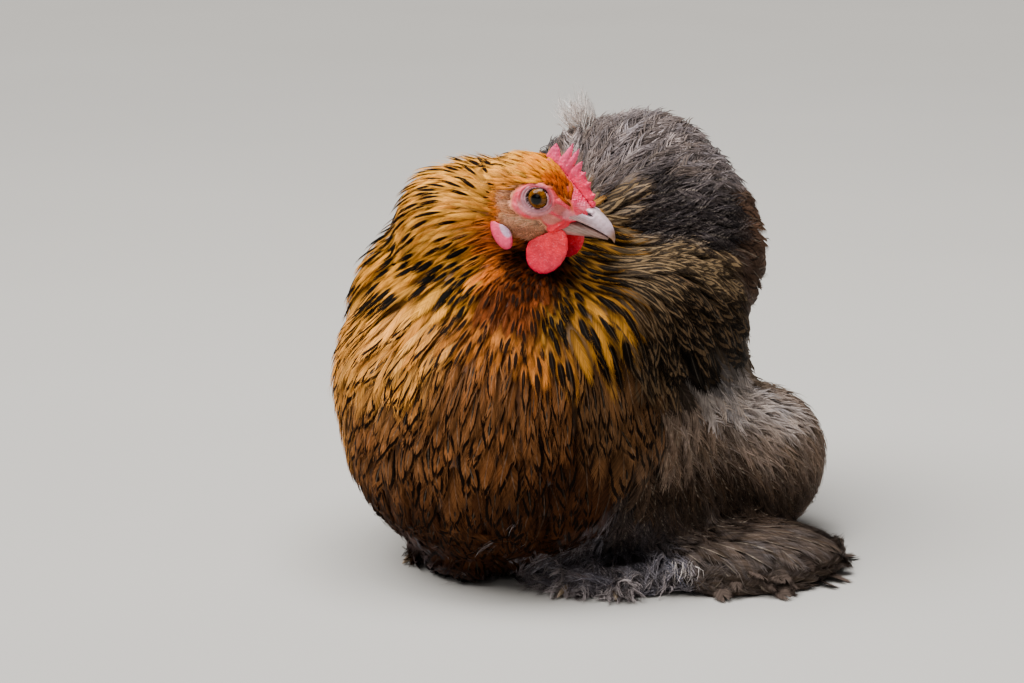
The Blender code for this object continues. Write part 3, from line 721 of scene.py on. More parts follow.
@dataclass
class HeadSkin:
    """The head's skin: skull shape with lids, folds, gape and cheeks, and its colours."""

    loft: Loft = field(
        default_factory=lambda: Loft(
            (
                (-27.0, 5.0, -15.0, 8.0),
                (-22.0, 11.5, -21.5, 12.5),
                (-14.0, 14.8, -26.0, 14.2),
                (-5.0, 15.6, -24.5, 13.0),
                (2.0, 13.4, -19.5, 11.2),
                (8.0, 9.4, -14.2, 8.6),
                (12.0, 6.6, -8.2, 6.8),
                (16.0, 3.6, -5.2, 5.2),
                (19.0, 1.0, -3.6, 3.6),
            ),
            steps=150,
            sides=250,
            squareness=0.92,
        )
    )
    coat_depth: float = 1.1  # how far the skin lies inside the crown's feathers
    lid_thickness: float = 0.35
    eye_depth: float = 1.6  # how far the skin lies under the eyeball
    lid_rings: tuple[tuple[float, float, float], ...] = (  # distance from the eye's axis, height, width
        (4.30, 0.34, 0.24),
        (4.80, -0.30, 0.28),
        (5.35, 0.16, 0.24),
        (5.85, -0.22, 0.26),
        (6.40, 0.36, 0.40),
    )

    GAPE: ClassVar = ((11.2, -7.4), (6.2, -11.2))  # the fold behind the corner of the bill, forward and up

    def shape(self) -> Array:
        """The skin's rings in the head's frame."""
        points = self.loft.points()
        flat = points.reshape(-1, 3)
        x, y, z = flat.T
        side = flat[:, SIDE]
        bare = FACE.bare(flat)
        rho, drooped = EYE.polar(x, z), EYE.drooped(x, z)
        beside = ease(np.abs(y), 3.0, 5.0)
        lift = -self.coat_depth * (1.0 - bare) * ease(x, 19.0, 12.0)
        for distance, height, width in self.lid_rings:
            lift = lift + beside * height * bell(drooped, distance, width)
        gape = 1.3 * self.gape(x, z, 1.1) * (1.0 + 0.25 * np.sin(3.4 * (x - z)))
        lift = lift + gape * ease(np.abs(y), 2.5, 4.5)
        beaded = np.maximum(self.comb_foot(side), 0.5 * bare * ease(rho, 6.0, 7.0))
        lift = lift + 0.22 * self.beads(x, y, z) * beaded
        crease = np.sin(2.1 * x + 5.2 * z + 0.8 * np.sin(0.9 * x + 0.7 * z))
        for height, centre, radii, turn in (
            (0.16 * crease, (6.5, -4.6), (6.0, 3.0), -16),
            (0.7, (-8.0, -9.0), (7.5, 5.5), 0),
            (-0.55, (8.0, -2.5), (4.0, 3.0), 0),
            (0.4, (0.5, 6.6), (6.5, 1.3), 4),
        ):
            lift = lift + height * blot(side, centre, radii, turn) * beside
        moved = self.loft.raised(points, lift).reshape(-1, 3)
        moved[:, 1] = np.sign(moved[:, 1]) * self.round_eye(np.abs(moved[:, 1]), rho, beside)
        return moved.reshape(points.shape)

    def round_eye(self, out: Array, rho: Array, beside: Array) -> Array:
        """How far out the skin lies: on the eyeball at the lids and hidden under it in the opening."""
        across = rho * EYE.opening[0] / EYE.rim
        ball = EYE.out + np.sqrt(np.maximum(EYE.radius**2 - across**2, 0.0))
        inside = ease(rho, 4.25, 3.95) * beside
        rim = ease(rho, 5.4, 4.2) * beside * (1.0 - inside)
        lidded = out + rim * np.maximum(ball + self.lid_thickness - out, 0.0)
        lidded = lidded * (1.0 - inside) + (ball - self.eye_depth) * inside
        return np.where(beside > 0.0, lidded, out)

    @staticmethod
    def comb_foot(side: Array) -> Array:
        """1 on the beaded skin beside the comb's front end."""
        return blot(side, (13.2, 5.4), (6.2, 3.6), -38)

    @staticmethod
    def beads(x: Array, y: Array, z: Array) -> Array:
        """Rounded grains about a millimetre across, from -1 to 1."""
        bent = 1.3 * np.sin(1.1 * x - 1.7 * z)
        return (
            np.sin(7.9 * x + 2.9 * z + bent)
            + np.sin(-3.3 * x + 8.3 * z - bent)
            + 0.7 * np.sin(9.1 * x + 6.1 * z + 3.3 * y)
            + 0.5 * np.sin(6.9 * y - 4.7 * x)
        ) / 2.2

    def gape(self, x: Array, z: Array, width: float) -> Array:
        """1 along the fold behind the corner of the bill, seen from the side."""
        start, end = self.GAPE
        line = np.array(end) - np.array(start)
        t = np.clip(((x - start[0]) * line[0] + (z - start[1]) * line[1]) / (line @ line), 0.0, 1.0)
        return bell(np.hypot(x - start[0] - t * line[0], z - start[1] - t * line[1]), 0.0, width)

    def mesh(self) -> Mesh:
        """The head's closed skin in the world."""
        return closed_tube("head_skin", self.shape(), HEAD.to_world)

    def colours(self, points: Array, feathered: Array) -> tuple[Array, Array]:
        """Paints the face over the colours under the feathers.

        Args:
            points: Skin points in the world.
            feathered: The colours under the feathers.

        Returns:
            The colours and how bare the skin is.
        """
        head = HEAD.to_head(points)
        x, y, z = head.T
        side = head[:, SIDE]
        near = FACE.near(head)
        bare, cheek = FACE.bare(head) * near, FACE.cheek(head) * near
        rho, drooped = EYE.polar(x, z), EYE.drooped(x, z)
        beads = self.beads(x, y, z)
        above = ease(z - EYE.up + 0.5 * (x - EYE.forward), 0.5, 2.5)
        below = ease(z - EYE.up, -1.0, -4.0)
        foot = self.comb_foot(side) * near * np.maximum(bare, 0.6)
        painted = overlay(
            feathered,
            (cheek, (246, 180, 148)),
            (bare, (244, 56, 82)),
            # Painted highlights on the tops of the beads round the bare ring.
            (bare * ease(beads, -0.2, 0.9) * ease(rho, 6.2, 7.2) * 0.40, (250, 160, 170)),
            (bare * blot(side, (8.4, -2.1), (4.6, 2.0), -20) * 0.6, (176, 122, 108)),
            (bare * blot(side, (4.0, -6.3), (7.8, 2.2), -12) * 0.75, (204, 140, 124)),
            (bare * blot(side, (-8.0, -4.5), (3.6, 4.2), 20) * 0.35, (246, 140, 146)),
            (bare * blot(side, (12.4, -3.6), (2.8, 2.4), 10) * 0.6, (244, 156, 168)),
            (ease(drooped, 7.1, 6.5) * bare * (1.0 - below), (232, 76, 94)),
            (ease(drooped, 7.3, 6.6) * bare * below, (204, 138, 140)),
            # Painted highlight along the ridge of the outer fold round the eye.
            (bell(drooped, 6.4, 0.36) * 0.35, (238, 128, 138)),
            (ease(drooped, 6.05, 5.7), (186, 120, 130)),
            # Painted highlight along the ridge of the inner fold round the eye.
            (bell(drooped, 5.35, 0.26) * 0.6, (204, 156, 168)),
            # Painted shade: dark red over the upper lid, under the brow's fold.
            (ease(drooped, 6.1, 5.2) * above * 0.9, (176, 52, 66)),
            (ease(rho, 4.62, 4.44), (228, 184, 192)),
            (ease(rho, 4.26, 4.12), (34, 20, 22)),
            (ease(self.gape(x, z, 1.7), 0.1, 0.7) * near, (240, 48, 68)),
            (foot, (242, 54, 96)),
            # Painted highlights on the tops of the beads at the comb's foot.
            (foot * ease(beads, 0.25, 0.9) * 0.5, (250, 180, 196)),
            # Painted highlight: a pale pink shine on the skin over the bill's base.
            (blot(side, (16.8, 1.3), (2.4, 1.5), -20) * near * 0.35, (238, 160, 176)),
        )
        return painted, bare


@dataclass
class Bill:
    """Upper and lower bill with nostrils, a ridge along the top and a hooked tip."""

    upper: Loft = Loft(
        (
            (9.0, -4.4, -5.9, 6.9),
            (12.5, -1.6, -6.0, 6.1),
            (16.0, 0.6, -6.3, 5.1),
            (20.5, 0.6, -6.9, 4.3),
            (24.5, -0.9, -7.7, 3.5),
            (27.8, -3.0, -8.6, 2.6),
            (30.2, -5.5, -9.6, 1.5),
            (31.6, -8.4, -10.9, 0.5),
        ),
        steps=70,
        sides=84,
        squareness=0.85,
    )
    lower: Loft = Loft(
        (
            (8.0, -6.1, -13.2, 6.6),
            (12.0, -6.2, -12.8, 5.8),
            (16.0, -6.45, -12.1, 4.6),
            (21.0, -7.1, -11.1, 3.4),
            (25.5, -8.0, -10.6, 2.3),
            (28.4, -9.0, -10.3, 0.9),
        ),
        steps=50,
        sides=60,
        squareness=0.85,
    )
    nostril: tuple[float, float] = (19.4, -1.3)
    slant: float = -14.0
    trim: float = 0.15  # clearance left inside the CAD outline

    def upper_mesh(self) -> Mesh:
        """The upper bill with a slit nostril under a domed flap on each side."""
        points = self.upper.points()
        x, y, z = points.reshape(-1, 3).T
        side = points.reshape(-1, 3)[:, SIDE]
        beside = ease(np.abs(y), 1.2, 2.4)
        flap = (self.nostril[0] - 0.6, self.nostril[1] + 1.45)
        lift = -self.trim - 1.1 * blot(side, self.nostril, (2.3, 0.75), self.slant) * beside
        lift = lift + 0.45 * blot(side, flap, (2.7, 0.8), self.slant) * beside
        lift = lift + 0.22 * bell(y, 0.0, 0.9) * ease(z, -6.0, -1.0)
        lift = lift + 0.18 * bell(z - self.upper.column(x, 2), 0.9, 0.6) * beside
        mesh = closed_tube("bill_upper", self.upper.raised(points, lift), HEAD.to_world)
        self.tint_upper(mesh)
        return mesh

    def tint_upper(self, mesh: Mesh) -> None:
        """Pale pinkish horn, fleshy at the base, brown at the tip, with painted shade in the nostril slit and
        just above the cutting edge.
        """
        head = HEAD.to_head(points_of(mesh))
        x, y, z = head.T
        above = z - self.upper.column(np.clip(x, *self.upper.span), 2)
        streak = ease(np.sin(7.0 * z + 1.4 * x + 2.0 * np.sin(0.8 * x)), 0.0, 0.9)
        blotch = ease(np.sin(1.3 * x + 2.1 * z) + np.sin(2.4 * x - 1.7 * z), 0.5, 1.5)
        colour = overlay(
            np.tile(paint(218, 194, 204), (len(head), 1)),
            (ease(x - 0.5 * z, 18.5, 15.0), (232, 160, 168)),
            (ease(np.abs(y), 2.2, 0.8) * ease(x, 29.0, 25.0) * 0.5, (150, 140, 132)),
            (bell(above, 2.6, 0.7) * ease(x, 27.0, 20.0) * 0.35, (150, 116, 112)),
            (bell(above, 1.1, 0.8) * ease(x, 25.0, 17.0) * 0.85, (236, 206, 202)),
            (streak * ease(x, 25.0, 16.0) * ease(above, 4.5, 3.0) * 0.65, (150, 108, 100)),
            (blotch * 0.35, (176, 140, 148)),
            # Painted shade along the cutting edge, where the gap between the bills lies.
            (ease(above, 0.32, 0.10) * ease(x, 30.0, 27.0) * 0.8, (96, 66, 60)),
            (ease(x - 0.4 * z, 30.5, 34.5), (142, 106, 84)),
            # Painted shade in the nostril slit.
            (blot(head[:, SIDE], self.nostril, (2.15, 0.66), self.slant), (40, 24, 28)),
        )
        store_tint(mesh, colour)

    def lower_mesh(self) -> Mesh:
        """The lower bill, with painted shade along its top edge, deepest near the gape."""
        mesh = closed_tube("bill_lower", self.lower.raised(self.lower.points(), -self.trim), HEAD.to_world)
        x, _, z = HEAD.to_head(points_of(mesh)).T
        x = np.clip(x, *self.lower.span)
        under = self.lower.column(x, 1) - z
        colour = overlay(
            np.tile(paint(146, 116, 106), (len(x), 1)),
            # Painted shade under the upper bill near the gape.
            (ease(under, 2.4, 1.0) * ease(x, 24.0, 17.0) * 0.7, (104, 78, 70)),
            (ease(np.sin(6.0 * z + 1.1 * x), 0.2, 0.9) * 0.35, (206, 178, 170)),
            (ease(under, 3.4, 4.6) * ease(x, 24.0, 18.0), (214, 160, 156)),
            # Painted shade along the mouth line at the top edge.
            (ease(under, 0.35, 0.1), (72, 48, 44)),
        )
        store_tint(mesh, colour)
        return mesh


@dataclass
class Eyeball:
    """One eyeball: a sphere with a bulged cornea that looks out sideways and a little forward."""

    place: EyePlace = EYE
    rings: int = 48
    sides: int = 64
    bulge: float = 0.25
    cornea: tuple[float, float] = (38.0, 62.0)  # where the cornea runs out into the ball, in degrees
    look_forward: float = 9.0
    look_up: float = 2.0

    def mesh(self, name: str, side: int) -> Mesh:
        """The eyeball on the hen's right for side 1, with an Iris map of turn and reach from the axis."""
        polar = np.linspace(0.0, math.pi, self.rings + 1)
        turn = np.linspace(0.0, 2 * math.pi, self.sides, endpoint=False)
        radius = self.place.radius - self.bulge * ease(polar, *map(math.radians, self.cornea))
        reach = np.sin(polar)
        out, along = (radius * reach)[:, None], (radius * np.cos(polar))[:, None]
        local = np.stack([out * np.cos(turn), along * np.ones((1, self.sides)), out * np.sin(turn)], axis=-1)
        forward = Matrix.Rotation(math.radians(-self.look_forward), 3, "Z")
        aim = forward @ Matrix.Rotation(math.radians(self.look_up), 3, "X")
        local = local.reshape(-1, 3) @ np.array(aim).T
        local[:, 1] *= -side
        middle = np.array((self.place.forward, -side * self.place.out, self.place.up))
        rings = local.reshape(self.rings + 1, self.sides, 3)[1:-1]
        mesh = closed_tube(name, rings, lambda points: HEAD.to_world(points + middle), local[[0, -1]])
        lat = np.repeat(np.where(polar < math.pi / 2, reach, 2 - reach)[1:-1], self.sides)
        lon = np.tile(turn / (2 * math.pi), self.rings - 1)
        self.map_iris(mesh, np.concatenate([lon, [0.5, 0.5]]), np.concatenate([lat, [0.0, 2.0]]))
        return mesh

    @staticmethod
    def map_iris(mesh: Mesh, lon: Array, lat: Array) -> None:
        """Stores the Iris map, with the turns of a face across the seam kept on one side of it."""
        corner = read(mesh.loops, "vertex_index", kind=np.int32)
        around = lon[corner]
        starts, sizes = (read(mesh.polygons, key, kind=np.int32) for key in ("loop_start", "loop_total"))
        for first, size in zip(starts, sizes):
            part = around[first : first + size]
            if part.max() - part.min() > 0.6:
                around[first : first + size] = np.where(part < 0.3, part + 1.0, part)
        layer = mesh.uv_layers.new(name="Iris")
        layer.data.foreach_set("uv", np.column_stack([around, lat[corner]]).astype(np.float32).ravel())


@dataclass
class SoftFlesh:
    """Comb, wattles and earlobes: fine copies of their solids with granules, ripples and painted tone."""

    voxel: float = 0.42 * MM
    smoothing: int = 5
    mid_level: float = 0.35

    def mesh(self, name: str, source: Object, granule: float, height: float) -> Mesh:
        """A fine copy of a solid with its surface roughened.

        Args:
            name: The new mesh's name.
            source: The solid.
            granule: Size of a granule, in metres.
            height: Height of a granule, in metres.

        Returns:
            The mesh.
        """
        obj = add_object(f"guide_{name}", remeshed(name, [source.data], self.voxel, self.smoothing))
        texture = bpy.data.textures.new(f"granules_{name}", "VORONOI")
        texture.noise_scale = granule
        texture.distance_metric = "DISTANCE"
        rough = obj.modifiers.new("granules", "DISPLACE")
        rough.texture, rough.texture_coords = texture, "GLOBAL"
        rough.strength, rough.mid_level = -height, self.mid_level
        mesh = baked(obj, name)
        drop(obj)
        mesh.shade_smooth()
        return mesh

    def tint(self, mesh: Mesh, low: Rgb, high: Rgb, span: tuple[float, float]) -> None:
        """Colours a piece from low to high along the head's up axis."""
        up = HEAD.to_head(points_of(mesh))[:, 2]
        store_tint(mesh, between(low, high, ease(up, *span)))

    def lobe_tint(self, mesh: Mesh) -> None:
        """An earlobe: a red crescent round a bluish white patch at its upper front."""
        side = HEAD.to_head(points_of(mesh))[:, SIDE]
        patch = blot(side, (-11.2, -14.6), (4.2, 1.9), -42) ** 1.5
        store_tint(mesh, between(paint(252, 82, 118), paint(212, 176, 204), patch))


# ---- Plumage regions ----


class Kind(Enum):
    """What a feather looks like."""

    HACKLE = "hackle"  # long, narrow and pointed
    CONTOUR = "contour"  # broad and round-ended
    DOWN = "down"  # loose separate barbs
    STRAND = "strand"  # a few long hairs from one root
    BRISTLE = "bristle"  # a tiny tuft of stiff hairs


@dataclass(frozen=True)
class Region:
    """One part of the plumage: its feathers' sizes in millimetres, their colours and where it lies."""

    name: str
    kind: Kind
    piece: str
    length: float
    width: float  # half the vane's width
    spacing: float
    depth: float  # how deep the roots lie under the coat's surface
    ground: Rgb
    marking: Rgb
    pattern: tuple[float, float, float]  # centre stripe, ring lines, peppering
    shaft: float = 0.0
    rings: float = 1.6
    jitter: float = 9.0  # degrees
    lift: float = 0.0  # how far the tip stands off
    vary: float = 0.12  # change of brightness from feather to feather
    spots: tuple[tuple[float, float, float, float], ...] = ()  # x, y, z and radius
    mirrored: bool = False
    marked: float = 1.0  # share of the feathers that carry a stripe or lines, which lie on top

    def claim(self, points: Array) -> Array:
        """How strongly the region claims each point: 0 at one of its spots and below 0 around them."""
        best = np.full(len(points), -1e4)
        for x, y, z, radius in self.spots:
            for side in (1, -1) if self.mirrored else (1,):
                away = np.linalg.norm(points / MM - (side * x, y, z), axis=1) / radius
                best = np.maximum(best, -(away**2))
        return best


REGIONS = (
    Region(
        "crown", Kind.HACKLE, "head", 9.5, 0.95, 1.15, 1.2, paint(255, 150, 70), paint(206, 122, 62),
        (0.05, 0.0, 0.15), 0.0, jitter=6, lift=0.2,
    ),
    Region(
        "cheek", Kind.BRISTLE, "head", 3.2, 0.8, 0.85, 0.4, paint(255, 198, 166), paint(214, 144, 116),
        (0.0, 0.0, 0.15), 0.0, jitter=10, lift=0.25,
    ),
    Region(
        "nape", Kind.HACKLE, "hackle", 19, 1.9, 2.2, 2.4, paint(255, 174, 98), paint(24, 13, 6),
        (0.6, 0.0, 0.1), 0.0, jitter=8, lift=1.2, marked=0.24,
        spots=((-8, -60, 156, 12), (-22, -52, 158, 14), (-34, -36, 156, 14), (-20, -18, 165, 16),
            (-20, -70, 145, 11), (-34, -64, 136, 8), (2, -22, 165, 14)),
    ),
    Region(
        "neck_side", Kind.HACKLE, "hackle", 18, 1.7, 2.0, 2.4, paint(212, 120, 66), paint(60, 28, 10),
        (0.4, 0.0, 0.25), 0.0, jitter=8, lift=0.5, marked=0.35,
        spots=((2, -60, 148, 10), (8, -63, 138, 8), (13, -68, 128, 8)),
    ),
    Region(
        "cape", Kind.HACKLE, "hackle", 31, 3.6, 4.5, 3.2, paint(204, 144, 76), paint(8, 5, 3),
        (0.88, 0.0, 0.15), 0.0, jitter=9, lift=0.8, vary=0.14, marked=0.52,
        spots=((-28, -73, 124, 17), (-46, -76, 106, 18), (-52, -50, 126, 20), (-60, -18, 130, 22),
            (-10, -76, 130, 11), (-62, -50, 100, 18), (-42, 8, 145, 20), (-12, 8, 157, 15),
            (14, 0, 148, 10), (0, -86, 116, 10), (-16, -84, 112, 12)),
    ),
    Region(
        "fan", Kind.HACKLE, "fan", 32, 3.6, 4.6, 3.2, paint(152, 108, 56), paint(9, 5, 2),
        (0.84, 0.0, 0.05), 0.06, jitter=8, lift=0.7, vary=0.09, marked=0.86,
        spots=((46, -44, 124, 9), (56, -36, 120, 9), (62, -44, 110, 9), (56, -58, 104, 9), (63, -52, 97, 8),
            (64, -56, 87, 8), (54, -68, 94, 8), (48, -66, 106, 8), (34, 0, 142, 9), (48, -18, 133, 8)),
    ),
    # Dark orange brown under the wattles: partly the feathers' own colour, partly painted shade under the
    # head.
    Region(
        "bib", Kind.HACKLE, "hackle", 20, 1.8, 2.2, 2.8, paint(104, 55, 32), paint(26, 12, 5),
        (0.55, 0.0, 0.35), 0.0, jitter=9, lift=0.5, vary=0.25, marked=0.32,
        spots=((20, -69, 126, 8), (31, -66, 118, 8), (20, -80, 113, 8), (34, -74, 108, 8)),
    ),
    Region(
        "bib_low", Kind.HACKLE, "hackle", 26, 2.5, 3.5, 3.0, paint(158, 100, 58), paint(24, 12, 5),
        (0.65, 0.0, 0.25), 0.0, jitter=10, lift=0.5, vary=0.2, marked=0.45,
        spots=((6, -91, 101, 8), (21, -88, 99, 9), (36, -82, 95, 9), (46, -76, 86, 8)),
    ),
    # Dark brown under the head: partly the throat feathers' own colour, partly painted shade under the head
    # and wattles.
    Region(
        "throat", Kind.HACKLE, "head", 11, 1.5, 1.7, 1.8, paint(84, 40, 20), paint(22, 12, 6),
        (0.75, 0.0, 0.5), 0.0, jitter=12, lift=0.5, marked=0.6,
        spots=((14, -57, 134, 5), (21, -63, 129, 7), (30, -67, 123, 7), (25, -56, 131, 8),
            (36, -53, 128, 9), (45, -48, 128, 6), (28, -60, 124, 7)),
    ),
    Region(
        "breast", Kind.CONTOUR, "breast", 24, 4.2, 5.0, 3.4, paint(206, 146, 86), paint(24, 13, 7),
        (0.0, 1.0, 0.1), 0.2, 1.5, jitter=16, vary=0.18, marked=0.78,
        spots=((-35, -97, 88, 22), (-4, -103, 88, 13), (-60, -72, 84, 22), (-76, -40, 84, 24),
            (-62, -80, 60, 22), (-84, -30, 60, 22)),
    ),
    Region(
        "breast_mid", Kind.CONTOUR, "breast", 24, 4.2, 5.0, 3.4, paint(114, 76, 50), paint(16, 9, 5),
        (0.0, 1.0, 0.15), 0.2, 1.5, jitter=17, vary=0.18, marked=0.8,
        spots=((19, -101, 76, 13), (38, -92, 72, 12), (54, -82, 68, 10), (-30, -100, 54, 20),
            (6, -104, 52, 17), (30, -97, 48, 13), (-20, -98, 36, 12), (10, -100, 36, 10)),
    ),
    # Dark low on the breast and under the body: partly the feathers' own dark brown, partly painted shade
    # under the breast.
    Region(
        "breast_low", Kind.CONTOUR, "breast", 23, 4.4, 5.0, 3.4, paint(58, 34, 20), paint(14, 8, 5),
        (0.0, 0.9, 0.25), 0.1, 1.65, jitter=18, marked=0.75,
        spots=((-7, -88, 20, 18), (25, -76, 14, 16), (49, -66, 24, 14), (-42, -72, 22, 18),
            (34, -92, 34, 11), (-10, -60, 5, 25), (0, -10, 2, 30), (54, -70, 44, 12), (-62, -40, 20, 22),
            (4, -98, 32, 13)),
    ),
    Region(
        "flank", Kind.CONTOUR, "flank", 26, 5.2, 5.8, 3.6, paint(92, 66, 46), paint(18, 11, 7),
        (0.0, 1.0, 0.2), 0.12, 1.9, jitter=16, lift=0.5, mirrored=True, marked=0.8,
        spots=((66, -62, 72, 10), (75, -48, 64, 12), (78, -36, 52, 12), (71, -54, 76, 8), (68, -58, 52, 9)),
    ),
    Region(
        "wing", Kind.CONTOUR, "wing", 25, 5.2, 4.5, 4.0, paint(16, 12, 9), paint(84, 68, 52),
        (0.0, 1.0, 0.25), 0.1, 2.0, jitter=22, lift=1.2, mirrored=True,
        spots=((80, -4, 104, 18), (81, 8, 92, 17), (78, -24, 98, 12), (75, -40, 82, 8), (79, -28, 84, 10),
            (78, 34, 96, 16)),
    ),
    Region(
        "wing_low", Kind.CONTOUR, "wing", 25, 5.2, 4.5, 4.0, paint(7, 4, 3), paint(15, 11, 8),
        (0.0, 0.9, 0.1), 0.1, 2.2, jitter=18, lift=1.0, mirrored=True,
        spots=((80, 24, 79, 9), (80, 6, 79, 9), (80, -12, 77, 7), (80, 38, 84, 9), (66, 62, 100, 9)),
    ),
    Region(
        "saddle", Kind.CONTOUR, "back", 18, 3.4, 3.2, 3.8, paint(37, 30, 24), paint(116, 98, 76),
        (0.0, 1.0, 0.3), 0.1, 1.9, jitter=22, lift=0.9, mirrored=True,
        spots=((60, -6, 131, 11), (70, -18, 121, 9), (30, 18, 148, 9), (64, 16, 124, 14), (0, 18, 154, 11),
            (70, 42, 112, 12)),
    ),
    Region(
        "cushion", Kind.DOWN, "cushion", 23, 5.6, 3.3, 5.0, paint(118, 109, 108), paint(70, 60, 54),
        (0.0, 0.2, 0.6), 0.2, 2.2, jitter=13, lift=1.8, vary=0.34, mirrored=True,
        spots=((3, 32, 166, 14), (8, 68, 176, 20), (32, 66, 166, 16), (0, 98, 158, 24), (20, 92, 166, 14)),
    ),
    Region(
        "cushion_dark", Kind.DOWN, "cushion", 23, 5.6, 3.8, 5.0, paint(42, 38, 40), paint(112, 104, 100),
        (0.0, 0.2, 0.45), 0.2, 2.2, jitter=14, lift=1.6, vary=0.34, mirrored=True,
        spots=((46, 34, 148, 10), (50, 50, 140, 11), (36, 46, 158, 9), (58, 60, 132, 9), (40, 22, 146, 6)),
    ),
    Region(
        "tail_edge", Kind.CONTOUR, "cushion", 25, 5.2, 4.6, 4.6, paint(82, 64, 54), paint(40, 31, 26),
        (0.0, 0.6, 0.6), 0.3, 2.6, jitter=18, lift=1.4, vary=0.2, mirrored=True,
        spots=((62, 74, 122, 12), (63, 66, 104, 14), (50, 95, 110, 20), (0, 114, 114, 26),
            (56, 84, 138, 9)),
    ),
    Region(
        "vent", Kind.DOWN, "rear", 26, 6.0, 4.3, 5.0, paint(104, 92, 82), paint(140, 128, 116),
        (0.0, 0.1, 0.5), 0.3, jitter=16, lift=1.2, vary=0.2, mirrored=True,
        spots=((0, 112, 70, 28), (45, 100, 66, 22), (0, 105, 35, 24), (66, 66, 80, 12)),
    ),
    # Pale grey on the thigh's top: partly the fluff's own pale grey, partly a painted highlight where the
    # light falls on it.
    Region(
        "thigh_top", Kind.DOWN, "thigh", 24, 4.2, 3.0, 4.4, paint(184, 173, 168), paint(180, 170, 164),
        (0.0, 0.0, 0.35), 0.3, jitter=8, lift=0.5, vary=0.1, mirrored=True,
        spots=((83, 24, 67, 11), (84, 6, 66, 8), (92, 40, 63, 14), (98, 52, 60, 12)),
    ),
    Region(
        "thigh", Kind.DOWN, "thigh", 24, 4.4, 3.2, 4.6, paint(122, 106, 96), paint(144, 128, 112),
        (0.0, 0.0, 0.5), 0.4, jitter=12, lift=1.0, vary=0.2, mirrored=True,
        spots=((100, 58, 36, 15), (97, 32, 46, 12), (88, 10, 50, 9), (104, 44, 30, 12), (85, 84, 36, 20),
            (104, 72, 46, 10), (80, -20, 58, 9), (77, -30, 46, 9), (84, -8, 48, 9)),
    ),
    # Dark on the lower thigh and, through its lowest spots, on the foot feathers under it: painted shade
    # under the thigh over the fluff's own grey brown.
    Region(
        "thigh_low", Kind.DOWN, "thigh", 22, 4.4, 3.5, 4.4, paint(56, 45, 38), paint(96, 80, 66),
        (0.0, 0.0, 0.35), 0.4, jitter=16, lift=1.0, vary=0.25, mirrored=True,
        spots=((80, -12, 30, 9), (90, 4, 30, 11), (70, -32, 28, 10), (60, -30, 12, 14), (94, 22, 22, 10),
            (99, 44, 25, 12), (106, 14, 17, 8), (92, -8, 20, 8)),
    ),
    Region(
        "foot", Kind.CONTOUR, "foot", 32, 5.6, 5.4, 3.0, paint(80, 72, 68), paint(60, 50, 42),
        (0.0, 0.35, 0.5), 0.35, 1.4, jitter=11, lift=2.4, vary=0.14,
        spots=((104, 12, 8, 16), (118, 14, 5, 16), (88, -4, 14, 13), (112, 36, 6, 14), (-40, -10, 6, 20),
            (-60, 0, 4, 14)),
    ),
    Region(
        "ground_fluff", Kind.DOWN, "foot", 24, 4.2, 2.9, 2.8, paint(100, 97, 102), paint(180, 174, 180),
        (0.0, 0.0, 0.5), 0.2, jitter=30, lift=2.0, vary=0.35,
        spots=((66, -36, 8, 12), (46, -48, 6, 13), (28, -60, 4, 11), (-10, -62, 6, 16), (-30, -52, 5, 12)),
    ),
)


@dataclass(frozen=True)
class Spray:
    """A few loose tufts that stand out of the coat, in millimetres."""

    kind: Kind
    place: tuple[float, float, float]
    spread: float
    count: int
    way: tuple[float, float, float]
    length: float
    width: float
    colour: Rgb
    stray: float = 0.22  # how far the tufts' directions differ
    droop: float = 0.0  # how far the tips bend down, as a share of the length


